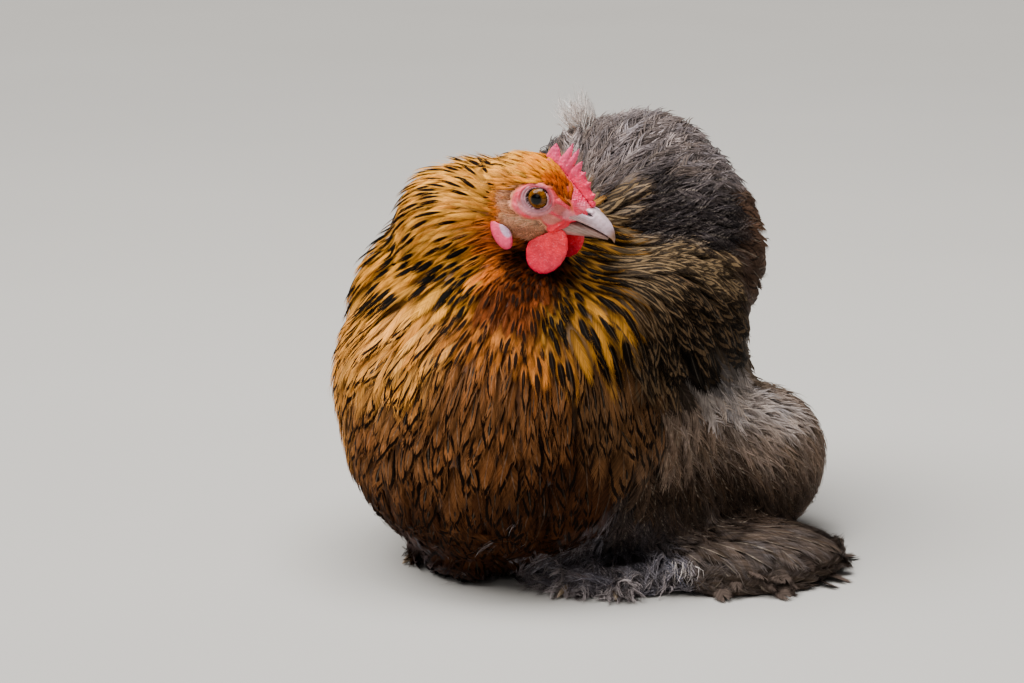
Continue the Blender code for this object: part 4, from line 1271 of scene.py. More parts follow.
PALE, ASH, DUSK = paint(236, 228, 224), paint(150, 142, 142), paint(60, 42, 30)
SILVER, GREY_BROWN = paint(186, 178, 174), paint(72, 63, 58)
SPRAYS = (
    Spray(Kind.STRAND, (-14, 43, 173), 2.4, 46, (-0.35, -0.10, 1.0), 20, 5.0, PALE, 0.15, 0.12),
    Spray(Kind.DOWN, (-11, 45, 172), 2.0, 10, (-0.22, -0.10, 1.0), 17, 3.2, PALE, 0.12, 0.12),
    Spray(Kind.STRAND, (-4, 46, 176), 5.0, 26, (0.15, 0.0, 1.0), 14, 3.0, ASH, 0.35, 0.30),
    Spray(Kind.STRAND, (12, 60, 176), 10.0, 44, (0.25, 0.10, 0.9), 12, 3.4, ASH, 0.45, 0.45),
    Spray(Kind.STRAND, (38, 68, 164), 9.0, 26, (0.45, 0.10, 0.7), 12, 3.4, ASH, 0.45, 0.45),
    Spray(Kind.STRAND, (86, -30, 12), 2.5, 7, (0.50, -0.75, 0.85), 21, 4.2, SILVER, 0.10, 0.85),
    Spray(Kind.STRAND, (78, -38, 9), 4.0, 7, (0.40, -0.8, 0.65), 17, 4.0, ASH, 0.18, 0.70),
    Spray(Kind.STRAND, (38, -62, 7), 12.0, 30, (0.0, -0.8, 0.25), 12, 3.4, ASH, 0.50, 0.40),
    Spray(Kind.STRAND, (4, -64, 6), 10.0, 18, (-0.2, -0.8, 0.2), 11, 3.4, ASH, 0.50, 0.40),
    Spray(Kind.DOWN, (48, -57, 8), 3.5, 16, (0.05, -1.0, -0.25), 17, 4.4, ASH, 0.30, 0.15),
    Spray(Kind.DOWN, (64, -50, 8), 3.5, 16, (0.55, -0.85, -0.25), 17, 4.4, ASH, 0.30, 0.15),
    Spray(Kind.DOWN, (34, -47, 8), 3.0, 10, (-0.5, -0.85, -0.25), 15, 4.2, ASH, 0.30, 0.15),
    Spray(Kind.CONTOUR, (112, -6, 12), 7.0, 11, (0.9, -0.45, -0.30), 18, 4.6, GREY_BROWN, 0.12, 0.10),
    Spray(Kind.CONTOUR, (113, 14, 12), 7.0, 12, (1.0, -0.05, -0.30), 15, 4.6, GREY_BROWN, 0.12, 0.10),
    Spray(Kind.CONTOUR, (106, 32, 12), 7.0, 11, (0.8, 0.55, -0.30), 18, 4.6, GREY_BROWN, 0.12, 0.10),
    Spray(Kind.CONTOUR, (94, -22, 12), 7.0, 8, (0.7, -0.75, -0.30), 15, 4.6, GREY_BROWN, 0.14, 0.10),
    Spray(Kind.CONTOUR, (-50, -16, 12), 6.0, 12, (-1.0, -0.35, -0.30), 18, 4.6, GREY_BROWN, 0.14, 0.10),
    # Dark brown fluff under the breast's front, in the breast_low colour: partly its own dark brown, partly
    # painted shade under the breast.
    Spray(Kind.DOWN, (-8, -60, 8), 2.2, 14, (0.15, -1.0, -0.55), 11, 3.4, DUSK, 0.12, 0.15),
    Spray(Kind.DOWN, (-27, -60, 8), 2.2, 14, (0.12, -1.0, -0.55), 11, 3.4, DUSK, 0.12, 0.15),
    Spray(Kind.DOWN, (2, -41, 8), 3.0, 10, (0.45, -0.85, -0.25), 15, 4.2, ASH, 0.30, 0.15),
)


class Plumage:
    """Blends the regions' numbers over the body."""

    def __init__(self, regions: Sequence[Region] = REGIONS) -> None:
        """Keeps the regions and their names."""
        self.regions = regions
        self.names = [r.name for r in regions]

    def weights(self, points: Array, sharpness: float = 1.6) -> Array:
        """Each region's share at each point, as points by regions."""
        head = HEAD.to_head(points)
        on_head, cheek = FACE.on_head(head), FACE.cheek(head)
        below = ease(head[:, 2] + 0.25 * head[:, 0], -15.0, -20.0)
        crown = on_head * (1.0 - cheek) * (1.0 - below) * ease(head[:, 0], -23.0, -7.0)
        claims = np.column_stack([r.claim(points) for r in self.regions])
        raw = np.exp(sharpness * (claims - claims.max(axis=1, keepdims=True)))
        raw /= raw.sum(axis=1, keepdims=True)
        raw *= (1.0 - np.maximum(crown, cheek * on_head))[:, None]
        raw[:, self.names.index("crown")] += crown
        raw[:, self.names.index("cheek")] += cheek * on_head
        return raw / raw.sum(axis=1, keepdims=True)

    def blend(self, weights: Array, label: str) -> Array:
        """One number or colour of the regions, mixed by their weights."""
        return weights @ np.array([getattr(r, label) for r in self.regions], float)

    def bare(self, points: Array) -> Array:
        """1 where no feathers grow."""
        head = HEAD.to_head(points)
        return FACE.bare(head) * FACE.near(head)


@dataclass(frozen=True)
class Lie:
    """Which way the feathers lie: away from the neck, down and, on the back, towards the tail."""

    neck: tuple[float, float, float] = (0.014, -0.036, 0.150)
    face: tuple[float, float, float] = (17.0, 0.0, 1.0)  # in the head's frame
    face_reach: tuple[float, float, float] = (44.0, 28.0, 36.0)
    feet: tuple[tuple[float, float], ...] = ((0.052, -0.006), (-0.020, -0.020))
    fall: float = 0.42
    backward: float = 0.75
    brow: float = 14.0
    foot_sink: float = -0.12

    def at(self, points: Array) -> Array:
        """Unit directions at points, not yet turned along the skin."""
        head = HEAD.to_head(points)
        near_face = within(head, self.face_reach, 1.25, 0.65)[:, None]
        from_neck = unit(points - np.array(self.neck))
        from_neck[:, 2] -= self.fall
        from_neck[:, 1] += self.backward * (ease(points[:, 1], -0.03, 0.03) * ease(points[:, 2], 0.04, 0.09))
        from_face = head - self.face
        from_face[:, 2] += self.brow * blot(head[:, SIDE], (7.0, 4.5), (6.5, 6.5)) * FACE.on_head(head)
        from_face = unit(from_face) @ HEAD.matrix().T
        way = from_neck * (1 - near_face) + from_face * near_face
        low = ease(points[:, 2], 0.030, 0.018)
        for foot in self.feet:
            away = points[:, :2] - np.array(foot)
            distance = np.linalg.norm(away, axis=1)
            near = (low * ease(distance, 0.10, 0.05))[:, None]
            sink = np.full(len(points), self.foot_sink)
            out = np.column_stack([away / np.maximum(distance, 1e-6)[:, None], sink])
            way = way * (1 - near) + out * near
        return unit(way)


# ---- The skin ----


@dataclass(frozen=True)
class Toes:
    """The front and hind toes of both feet, as tubes under the foot feathers."""

    feet: tuple[tuple[int, float, float, float], ...] = ((1, 0.046, -0.022, 4.0), (-1, -0.022, -0.026, -20.0))
    toes: tuple[tuple[float, float], ...] = ((-30.0, 0.030), (0.0, 0.039), (30.0, 0.036), (222.0, 0.026))
    radius: float = 0.0035
    sides: int = 14
    steps: int = 12

    FLOOR: ClassVar[float] = 0.0002

    def meshes(self) -> list[Mesh]:
        """One closed tube for each toe."""
        made = []
        for side, x, y, heading in self.feet:
            for turn, length in self.toes:
                angle = math.radians(heading + turn)
                way = np.array((side * math.sin(angle), -math.cos(angle), 0.0))
                made.append(self.tube(np.array((x, y, 0.0)), way, length))
        return made

    def tube(self, root: Array, way: Array, length: float) -> Mesh:
        """A tapering tube along the floor with a ring at each joint of the toe."""
        share = np.linspace(0.0, 1.0, self.steps + 1)
        radius = self.radius * (1.0 - 0.30 * share) * (1.0 + 0.06 * np.cos(share * 3 * 2 * math.pi))
        radius[0] = radius[-1] = radius[-1] * 0.5
        height = self.radius * 0.9 * (1.0 - 0.28 * share) + 0.0020 * (1 - share) ** 2
        turn = np.linspace(0.0, 2 * math.pi, self.sides, endpoint=False)[:, None]
        ring = np.cross(way, UP) * np.cos(turn) + UP * np.sin(turn)
        axis = root + way * (length * share)[:, None, None] + UP * height[:, None, None]
        rings = axis + radius[:, None, None] * ring
        rings[..., 2] = np.maximum(rings[..., 2], self.FLOOR)
        return closed_tube("toe", rings)


class Skin:
    """One skin for all the flesh, inside the solids by the coat's depth, and what feathers read of it."""

    FLESH = (
        "head", "neck", "trunk", "tail",
        "wing_left", "wing_right", "leg_left", "leg_right", "foot_left", "foot_right",
    )
    VOXEL = 0.0026
    SMOOTHING = 12
    SWELL = 0.7 * MM  # how far the voxel skin and the vanes' thickness stand outside the solids
    UNDER_HEAD = 3.2 * MM  # how far the plain skin lies inside the modelled head
    FLOOR = 0.0006
    # Painted shade: the feathers' colours darkened on the skin under them, deep in the coat.
    COAT_SHADE = 0.55  # of the feathers' colours on the skin under them
    FULLER = (
        (-64, -54, 114, 20, 2.6), (-66, -74, 84, 22, -3.4), (-12, 46, 170, 20, 4.5), (8, 60, 174, 22, 1.8),
        (40, 66, 160, 16, 1.5), (63, 78, 118, 18, 3.0), (108, 70, 54, 20, 3.2),
    )  # x, y, z, reach and how far out, in millimetres

    def __init__(self, nodes: dict[str, Object], plumage: Plumage, finishes: Finishes) -> None:
        """Builds the skin and its colours.

        Args:
            nodes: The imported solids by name.
            plumage: The regions, which give the coat's depth and the colours.
            finishes: The materials.
        """
        self.plumage = plumage
        outline = remeshed("outline", [nodes[n].data for n in self.FLESH], self.VOXEL, self.SMOOTHING)
        self.sink(outline)
        body = remeshed("body_skin", [outline, *Toes().meshes()], self.VOXEL * 0.9, 2)
        self.head = HeadSkin()
        self.obj = self.union(body, self.head.mesh())
        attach(self.obj, "root")
        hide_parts(*self.FLESH)
        mesh = self.obj.data
        mesh.materials.clear()
        # Colour of the painted highlights on the tops of the skin's granules.
        highlight_tops = paint(248, 168, 176)
        mesh.materials.append(finishes.flesh("skin", 0.52, granule=1000.0, pale=highlight_tops, amount=0.30, wet=0.10))
        mesh.shade_smooth()
        self.unwrap()
        points = points_of(mesh)
        under = plumage.blend(plumage.weights(points), "ground") * self.COAT_SHADE
        store_tint(mesh, *self.head.colours(points, under))
        self.read()

    def sink(self, outline: Mesh) -> None:
        """Moves the solids' outline inwards by the coat's depth."""
        points = points_of(outline)
        head = HEAD.to_head(points)
        depth = self.plumage.blend(self.plumage.weights(points), "depth") * MM
        inside = FACE.on_head(head) * ease(head[:, 0], -25.0, -15.0)
        depth = depth * (1 - inside) + self.UNDER_HEAD * inside
        for x, y, z, reach, out in self.FULLER:
            depth = depth - out * MM * bell(np.linalg.norm(points / MM - (x, y, z), axis=1), 0.0, reach)
        moved = points - read(outline.vertices, "normal", 3) * (depth + self.SWELL)[:, None]
        moved[:, 2] = np.maximum(moved[:, 2], self.FLOOR)
        move_points(outline, moved)

    @staticmethod
    def union(body: Mesh, head: Mesh) -> Object:
        """Joins body and head into one closed skin."""
        first, second = add_object("guide_body", body), add_object("guide_head", head)
        joint = first.modifiers.new("head", "BOOLEAN")
        joint.operation, joint.object, joint.solver = "UNION", second, "EXACT"
        mesh = baked(first, "skin")
        drop(first)
        drop(second)
        return add_object("skin", mesh)

    def unwrap(self) -> None:
        """Gives the skin an unwrap of its own shape."""
        bpy.context.view_layer.objects.active = self.obj
        self.obj.select_set(True)
        self.obj.data.uv_layers.new(name=BAKE_MAP)
        bpy.ops.object.mode_set(mode="EDIT")
        bpy.ops.mesh.select_all(action="SELECT")
        bpy.ops.uv.smart_project(angle_limit=math.radians(66), island_margin=0.003)
        bpy.ops.object.mode_set(mode="OBJECT")
        self.obj.select_set(False)

    def read(self) -> None:
        """Reads the skin's triangles, normals and unwrap into arrays."""
        mesh = self.obj.data
        mesh.calc_loop_triangles()
        self.corners, loops = (read(mesh.loop_triangles, key, 3, np.int32) for key in ("vertices", "loops"))
        self.uv = read(mesh.uv_layers[BAKE_MAP].data, "uv", 2, np.float32)[loops]
        self.points, self.normals = points_of(mesh), self.smoothed(read(mesh.vertices, "normal", 3))
        self.tree = BVHTree.FromPolygons(self.points.tolist(), self.corners.tolist())

    def smoothed(self, normals: Array, rounds: int = 6) -> Array:
        """Vertex normals averaged with their neighbours', so that feathers don't follow small folds."""
        first, second, third = self.corners.T
        for _ in range(rounds):
            total = normals.copy()
            for a, b in ((first, second), (second, third), (third, first)):
                np.add.at(total, a, normals[b])
                np.add.at(total, b, normals[a])
            normals = unit(total)
        return normals

    def normals_in(self, faces: Array) -> Array:
        """The normals in the middles of triangles."""
        return unit(self.normals[self.corners[faces]].mean(axis=1))

    def nearest(self, points: Array) -> tuple[Array, Array, Array]:
        """The nearest skin points, their normals and their triangles."""
        places, found = np.empty_like(points), np.empty(len(points), np.int64)
        for i, point in enumerate(points.tolist()):
            places[i], _, found[i], _ = self.tree.find_nearest(point)
        return places, self.normals_in(found), found


# ---- The plumage ----


@dataclass(frozen=True)
class Vane:
    """One feather's flat pattern: x from -1 to 1 across, y from 0 at the root to 1 at the tip."""

    barbs: int
    split: float  # share of a barb's length that stays joined to its neighbours
    lean: float  # how far the barbs' ends lie ahead of their roots
    outline: Outline
    lift: float = 0.0  # how far barbs stand off
    fray: float = 0.12  # how unequal the barbs' lengths are

    def width(self, along: float) -> float:
        """Half the vane's width at a place along it."""
        return float(np.interp(along, *zip(*self.outline)))

    def mesh(self, name: str) -> Mesh:
        """The vane: on both sides barbs joined near the shaft and free at the edge."""
        rng = np.random.default_rng(SEED)
        shaft = np.linspace(0.0, 1.0 - self.lean, self.barbs + 1)
        points = [(0.0, float(y), 0.0) for y in shaft]
        faces: list[tuple[int, ...]] = []
        for side in (-1, 1):
            first = len(points)
            for y in shaft:
                out = self.split * self.width(y + self.lean)
                points.append((side * out, float(y) + self.lean * self.split, 0.0))
            for k in range(self.barbs):
                root = float(shaft[k] + shaft[k + 1]) / 2
                reach = 1.0 - self.fray * rng.random()
                out = self.width(root + self.lean) * reach
                edge, tip = first + k, len(points)
                points.append((side * out, root + self.lean * reach * 1.04, self.lift * rng.uniform(-1, 1)))
                loop = [(k, edge, edge + 1, k + 1), (edge, tip, edge + 1)]
                faces += loop if side > 0 else [tuple(reversed(face)) for face in loop]
        return mesh_of(name, np.array(points), faces)


@dataclass(frozen=True)
class Plume:
    """A loose tuft: thin separate hairs that leave the shaft and bend towards the tip."""

    hairs: int
    reach: float  # share of the length that one hair covers
    thickness: float
    outline: Outline
    wave: float = 0.0
    lift: float = 0.3
    pieces: int = 3

    def mesh(self, name: str) -> Mesh:
        """The tuft: each hair a tapering strip, on both sides of the shaft."""
        rng = np.random.default_rng(SEED)
        points: list[Array] = []
        faces: list[tuple[int, ...]] = []
        for k in range(self.hairs):
            for side in (-1, 1):
                start = (k + rng.uniform(0, 0.8)) / self.hairs * (1.0 - self.reach * 0.7)
                stop = min(start + self.reach * rng.uniform(0.8, 1.15), 1.02)
                wide = float(np.interp((start + stop) / 2, *zip(*self.outline)))
                out = side * wide * rng.uniform(0.7, 1.05)
                bend = rng.uniform(1.2, 2.0)
                rise = rng.uniform(-self.lift, self.lift)
                phase = rng.uniform(0, 2 * math.pi)
                first = len(points)
                for j in range(self.pieces + 1):
                    t = j / self.pieces
                    x = out * t ** (1 / bend) + self.wave * math.sin(phase + 5.0 * t) * t
                    centre = np.array((x, start + (stop - start) * t, rise * t))
                    half = self.thickness / 2 * (1.0 - 0.55 * t)
                    if j < self.pieces:
                        points += [centre - (half, 0, 0), centre + (half, 0, 0)]
                    else:
                        points.append(centre)
                for j in range(self.pieces):
                    a = first + 2 * j
                    faces.append((a, a + 1, a + 3, a + 2) if j < self.pieces - 1 else (a, a + 1, a + 2))
        return mesh_of(name, np.array(points), faces)


POINTED: Outline = ((0, 0.30), (0.15, 0.62), (0.4, 0.96), (0.6, 1.0), (0.8, 0.76), (0.92, 0.42), (1, 0.10))
ROUNDED: Outline = ((0, 0.35), (0.15, 0.66), (0.4, 0.92), (0.65, 1.0), (0.85, 0.88), (0.95, 0.58), (1, 0.22))
LOOSE: Outline = ((0, 0.40), (0.3, 0.8), (0.6, 1.0), (0.85, 0.85), (1, 0.45))
PATTERNS: dict[Kind, Vane | Plume] = {
    Kind.HACKLE: Vane(24, 0.50, 0.30, POINTED, 0.08, 0.22),
    Kind.CONTOUR: Vane(24, 0.60, 0.32, ROUNDED, 0.07, 0.18),
    Kind.DOWN: Plume(13, 0.50, 0.13, LOOSE, 0.10, 0.45),
    Kind.STRAND: Plume(3, 0.95, 0.07, LOOSE, 0.12, 0.35, 4),
    Kind.BRISTLE: Plume(2, 0.9, 0.42, LOOSE, 0.0, 0.4, 2),
}


class FeatherTree:
    """The Geometry Nodes tree that lays one feather pattern along every root's own curve.

    A root carries shaft_0 to shaft_3, the curve's Bezier points; normal_0 and normal_1, which way the vane
    faces at its root and tip; width, camber and root_uv.
    """

    HELPERS = (*(f"shaft_{k}" for k in range(4)), "normal_0", "normal_1", "width", "camber", "root_uv")
    FLOOR = 0.0004
    WANDER_SCALE = 420.0  # of the noise that moves hair ends, per metre

    def __init__(self) -> None:
        """Builds the tree."""
        self.tree = bpy.data.node_groups.new("feather_tree", "GeometryNodeTree")
        self.identifiers: dict[str, str] = {}
        for name, kind in (
            ("Geometry", "NodeSocketGeometry"),
            ("Feather", "NodeSocketObject"),
            ("Finish", "NodeSocketMaterial"),
            ("Softness", FLOAT),
            ("Patch", FLOAT),
            ("Seed", FLOAT),
        ):
            socket = self.tree.interface.new_socket(name=name, in_out="INPUT", socket_type=kind)
            self.identifiers[name] = socket.identifier
        self.tree.interface.new_socket(name="Geometry", in_out="OUTPUT", socket_type="NodeSocketGeometry")
        self.fill()

    def fill(self) -> None:
        """Adds the nodes."""
        g = Graph(self.tree)
        at = {s.name: s for s in self.tree.nodes.new("NodeGroupInput").outputs if s.name}
        gathered = g.node("GeometryNodeSetPosition", at["Geometry"], None, (0.0, 0.0, 0.0)).outputs[0]
        feather = g.node("GeometryNodeObjectInfo", at["Feather"]).outputs["Geometry"]
        spread = g.node("GeometryNodeInstanceOnPoints", gathered, None, feather).outputs[0]
        real = g.node("GeometryNodeRealizeInstances", spread).outputs[0]
        place = g.split(g.node("GeometryNodeInputPosition").outputs[0])
        x, y, _ = place
        vane = g.join(g.math("*+", x, 0.5, 0.5), g.math("min", y, 1.0), 0.0)
        mapped = self.stored(g, real, VANE_MAP, vane)
        half_patch = g.math("*", at["Patch"], 0.5)
        spot = g.join(g.math("*", x, half_patch), g.math("*", g.math("*+", y, 2.0, -1.0), half_patch), 0.0)
        mapped = self.stored(g, mapped, BAKE_MAP, g.vector("+", self.read(g, "root_uv"), spot))
        laid = g.node("GeometryNodeSetPosition", mapped, None, self.curve(g, at, place)).outputs[0]
        for name in self.HELPERS:
            laid = g.node("GeometryNodeRemoveAttribute", laid, name).outputs[0]
        smooth = g.node("GeometryNodeSetShadeSmooth", laid, None, True).outputs[0]
        done = g.node("GeometryNodeSetMaterial", smooth, None, at["Finish"]).outputs[0]
        g.node("NodeGroupOutput", done)

    @staticmethod
    def read(g: Graph, name: str, kind: str = "FLOAT_VECTOR") -> NodeSocket:
        """An attribute's value."""
        return g.node("GeometryNodeInputNamedAttribute", name, data_type=kind).outputs["Attribute"]

    @staticmethod
    def stored(g: Graph, geometry: NodeSocket, name: str, value: NodeSocket) -> NodeSocket:
        """Geometry with a UV map stored on its corners."""
        kind = {"data_type": "FLOAT2", "domain": "CORNER"}
        return g.node("GeometryNodeStoreNamedAttribute", geometry, None, name, value, **kind).outputs[0]

    def curve(self, g: Graph, at: dict[str, NodeSocket], place: Outputs) -> NodeSocket:
        """Where the pattern's point, as x, y and z, lies on the root's curve."""
        x, y, z = place
        shaft = [self.read(g, f"shaft_{k}") for k in range(4)]
        back = g.math("-", 1.0, y)

        def blend(factors: Sequence[float], points: Sequence[NodeSocket]) -> NodeSocket:
            """A Bezier curve's point or direction."""
            total, degree = None, len(points) - 1
            for k, (factor, point) in enumerate(zip(factors, points)):
                share = g.math("*", factor, *[back] * (degree - k), *[y] * k)
                part = g.vector("SCALE", point, share)
                total = part if total is None else g.vector("+", total, part)
            return total

        point = blend((1.0, 3.0, 3.0, 1.0), shaft)
        way = blend((3.0, 6.0, 3.0), [g.vector("-", end, start) for start, end in zip(shaft, shaft[1:])])
        ends = [g.vector("SCALE", self.read(g, f"normal_{k}"), share) for k, share in enumerate((back, y))]
        side = g.vector("NORMALIZE", g.vector("CROSS_PRODUCT", way, g.vector("+", *ends)))
        face = g.vector("NORMALIZE", g.vector("CROSS_PRODUCT", side, way))
        width = self.read(g, "width", "FLOAT")
        sag = g.math("*", x, x, self.read(g, "camber", "FLOAT"))
        high = g.math("*", g.math("-", z, sag), width)
        across = g.vector("SCALE", side, g.math("*", x, width))
        laid = g.vector("+", point, g.vector("+", across, g.vector("SCALE", face, high)))
        wander = {"Vector": laid, "W": at["Seed"], "Scale": self.WANDER_SCALE, "Detail": 1.0}
        drift = g.fill(g.node("ShaderNodeTexNoise", noise_dimensions="4D"), wander)["Color"]
        reach = g.math("*", g.math("abs", x), y, at["Softness"])
        soft = g.vector("+", laid, g.vector("SCALE", g.vector("-", drift, (0.5, 0.5, 0.5)), reach))
        px, py, pz = g.split(soft)
        return g.join(px, py, g.math("max", pz, self.FLOOR))

    def grow(
        self, name: str, roots: Mesh, pattern: Object, finish: Material, softness: float
    ) -> Object:
        """Grows one piece of the coat.

        Args:
            name: The piece's name.
            roots: A mesh of points with the roots' attributes.
            pattern: The feather pattern's object.
            finish: The material.
            softness: How far hair ends wander, in metres.

        Returns:
            The piece as a plain mesh object.
        """
        guide = add_object(f"guide_{name}", roots)
        modifier = guide.modifiers.new("feathers", "NODES")
        modifier.node_group = self.tree
        inputs = {"Feather": pattern, "Finish": finish, "Softness": softness}
        for label, value in {**inputs, "Patch": BAKE_PATCH, "Seed": float(SEED)}.items():
            modifier[self.identifiers[label]] = value
        mesh = baked(guide, name)
        guide.modifiers.clear()
        drop(guide)
        return add_object(name, mesh)


@dataclass
class Roots:
    """The places where feathers grow, one row each."""

    place: Array
    face: Array
    uv: Array
    weights: Array  # the regions' shares, first at the root and, once laid, where the feather shows
    region: Array
    seen: Array | None = None
    luck: Array | None = None  # below the region's marked share, a feather is a marked one
    bezier: list[Array] = field(default_factory=list)
    normals: list[Array] = field(default_factory=list)
    width: Array | None = None

    COLUMNS: ClassVar = ("place", "face", "uv", "weights", "region", "seen", "luck", "width")
    CURVES: ClassVar = ("bezier", "normals")

    @classmethod
    def joined(cls, parts: Sequence[Roots]) -> Roots:
        """The rows of several tables in one."""
        made = cls(*(np.concatenate([getattr(part, name) for part in parts]) for name in cls.COLUMNS[:5]))
        for name in cls.CURVES:
            curves = zip(*(getattr(part, name) for part in parts))
            setattr(made, name, [np.concatenate(rows) for rows in curves])
        made.width = np.concatenate([part.width for part in parts])
        return made

    def keep(self, mask: Array) -> None:
        """Drops the rows that the mask leaves out."""
        for name in self.COLUMNS:
            setattr(self, name, getattr(self, name)[mask])
        for name in self.CURVES:
            setattr(self, name, [rows[mask] for rows in getattr(self, name)])


class Coat:
    """All the feathers: where they grow, how each lies and what it looks like."""

    OVERSAMPLING = 9  # points drawn for each feather that finds room
    MARCH = 3  # steps along the skin from the root to the tip
    RAISED = 4.2 * MM  # how far marked feathers stand over plain ones, where they are few
    ROOT_DEPTH = 0.5 * MM
    FLOOR = 0.8 * MM
    MOST_FACES = 190_000
    MOST_BARE_ROOT, MOST_BARE = 0.35, 0.5  # how bare the skin may be at a feather's root and where it shows
    KEPT_WAY = 0.75  # how much of its way a feather keeps at each step
    LOOSE_SPREAD = 1.5
    LOOSE_PALE = np.array((0.85, 0.70, 0.52, 1.0))
    LOOSE_OVER = (
        "nape", "neck_side", "bib", "bib_low", "throat",
        "breast", "breast_mid", "breast_low", "tail_edge", "foot",
    )
    SPRAY_SOFTNESS = 0.25
    SOFTNESS = dict(zip(Kind, (0.0010, 0.0014, 0.0040, 0.0060, 0.0004)))  # in metres
    CAMBER = dict(zip(Kind, (0.26, 0.28, 0.45, 0.3, 0.2)))
    SLOTS = {
        "gold_hackle": ("head", "hackle", "fan", "loose"),
        "gold_breast": ("breast",),
        "brown_plumage": ("flank", "wing", "back"),
        "grey_fluff": ("",),
    }

    def __init__(self, skin: Skin, plumage: Plumage, finishes: Finishes) -> None:
        """Keeps the skin, the regions and the feather material, and draws the patterns.

        Args:
            skin: The skin that the feathers grow from.
            plumage: The regions.
            finishes: The materials.
        """
        self.skin, self.plumage = skin, plumage
        self.finish = finishes.plumage()
        self.lie = Lie()
        self.tree = FeatherTree()
        self.rng = np.random.default_rng(SEED)
        self.patterns = {k: add_object(f"guide_{k.value}", p.mesh(k.value)) for k, p in PATTERNS.items()}

    def scatter(self, spread: float = 1.0) -> Roots:
        """Roots over the whole skin, spaced as their regions say.

        Args:
            spread: Multiplies the spacing.

        Returns:
            The roots.
        """
        skin, plumage, rng = self.skin, self.plumage, self.rng
        corners = skin.points[skin.corners]
        cross = np.cross(corners[:, 1] - corners[:, 0], corners[:, 2] - corners[:, 0])
        area = np.linalg.norm(cross, axis=1) / 2
        middle = corners.mean(axis=1)
        spacing = plumage.blend(plumage.weights(middle), "spacing") * MM * spread
        down = ease(cross[:, 2] / np.maximum(area * 2, 1e-12), -0.8, -0.95)
        facing_floor = ease(middle[:, 2], 0.0022, 0.0010) * down
        chance = area / spacing**2 * (1.0 - plumage.bare(middle)) * (1.0 - facing_floor)
        count = int(chance.sum() * self.OVERSAMPLING)
        picked = rng.choice(len(area), count, p=chance / chance.sum())
        first, second = np.sqrt(rng.random(count)), rng.random(count)
        shares = np.column_stack([1 - first, first * (1 - second), first * second])
        place, uv = (np.einsum("ij,ijk->ik", shares, rows[picked]) for rows in (corners, skin.uv))
        keep = plumage.bare(place) < self.MOST_BARE_ROOT
        place, uv, picked = place[keep], uv[keep], picked[keep]
        weights = plumage.weights(place)
        spacing = plumage.blend(weights, "spacing") * MM * spread
        tree = KDTree(len(place))
        for i, point in enumerate(place.tolist()):
            tree.insert(point, i)
        tree.balance()
        alive = np.ones(len(place), bool)
        chosen = []
        for i, point in enumerate(place.tolist()):
            if alive[i]:
                chosen.append(i)
                alive[[j for _, j, _ in tree.find_range(point, spacing[i])]] = False
        order = np.array(chosen)
        return Roots(place[order], picked[order], uv[order], weights[order], np.zeros(len(order), int))

    def lay(self, roots: Roots, longer: float = 1.0, higher: float = 0.0) -> None:
        """Lays every feather's curve over the skin.

        Args:
            roots: Where the feathers grow; their curves are filled in.
            longer: Multiplies the length.
            higher: Adds to the tip's height, in metres.
        """
        rng, bare = self.rng, self.plumage.bare
        count = len(roots.place)

        def size(label: str) -> Array:
            """A measure of the regions in metres."""
            return self.plumage.blend(roots.weights, label) * MM

        length = size("length") * rng.normal(1.0, 0.09, count).clip(0.75, 1.3) * longer
        depth = size("depth") * rng.uniform(0.86, 1.12, count)
        lift = size("lift") * rng.uniform(0.0, 1.6, count)
        roots.luck = rng.random(count)
        marked = self.plumage.blend(roots.weights, "marked")
        raised = (roots.luck < marked) * (1.0 - marked) * self.RAISED
        jitter = np.radians(self.plumage.blend(roots.weights, "jitter"))
        jitter = jitter * rng.normal(0.0, 1.0, count).clip(-2, 2)
        head = HEAD.to_head(roots.place)
        brow = blot(head[:, SIDE], (6.0, 6.0), (6.0, 4.5), -35) * FACE.on_head(head)
        length = length * (1.0 - 0.35 * brow)
        place, normal = roots.place, self.skin.normals_in(roots.face)
        way = self.along(self.lie.at(place), normal)
        way = way * np.cos(jitter)[:, None] + np.cross(normal, way) * np.sin(jitter)[:, None]
        rows, faces = [place - normal * self.ROOT_DEPTH], [normal]
        for step in range(1, self.MARCH + 1):
            place, normal, _ = self.skin.nearest(place + way * (length / self.MARCH)[:, None])
            turned_way = self.along(self.lie.at(place), normal) * (1.0 - self.KEPT_WAY)
            way = self.along(way * self.KEPT_WAY + turned_way, normal)
            t = step / self.MARCH
            high = depth * 0.94 * (1.0 - (1.0 - t) ** 1.8) + (lift + higher) * t * t + raised * t
            rows.append(place + normal * high[:, None])
            faces.append(normal)
        roots.seen = rows[-1] * 0.7 + rows[-2] * 0.3
        c0, c1, c2, c3 = rows
        second, third = -5 * c0 + 18 * c1 - 9 * c2 + 2 * c3, 2 * c0 - 9 * c1 + 18 * c2 - 5 * c3
        roots.bezier = [c0, second / 6, third / 6, c3]  # the curve through all four
        roll = rng.normal(0.0, 0.10, count)[:, None]
        roots.normals = [unit(n + np.cross(way, n) * roll) for n in (faces[0], faces[-1])]
        roots.width = size("width") * rng.normal(1.0, 0.10, count).clip(0.75, 1.3)
        roots.weights = self.plumage.weights(roots.seen)
        sharp = self.sharpened(roots.weights, 3)
        roots.region = (sharp.cumsum(axis=1) > rng.random(count)[:, None]).argmax(axis=1)
        roots.keep(bare(roots.seen) < self.MOST_BARE)

    @staticmethod
    def along(way: Array, normal: Array) -> Array:
        """Directions turned to lie along the skin."""
        return unit(way - normal * np.einsum("ij,ij->i", way, normal)[:, None])

    @staticmethod
    def sharpened(weights: Array, power: float) -> Array:
        """The regions' shares with the strongest made stronger."""
        sharp = weights**power
        return sharp / sharp.sum(axis=1, keepdims=True)

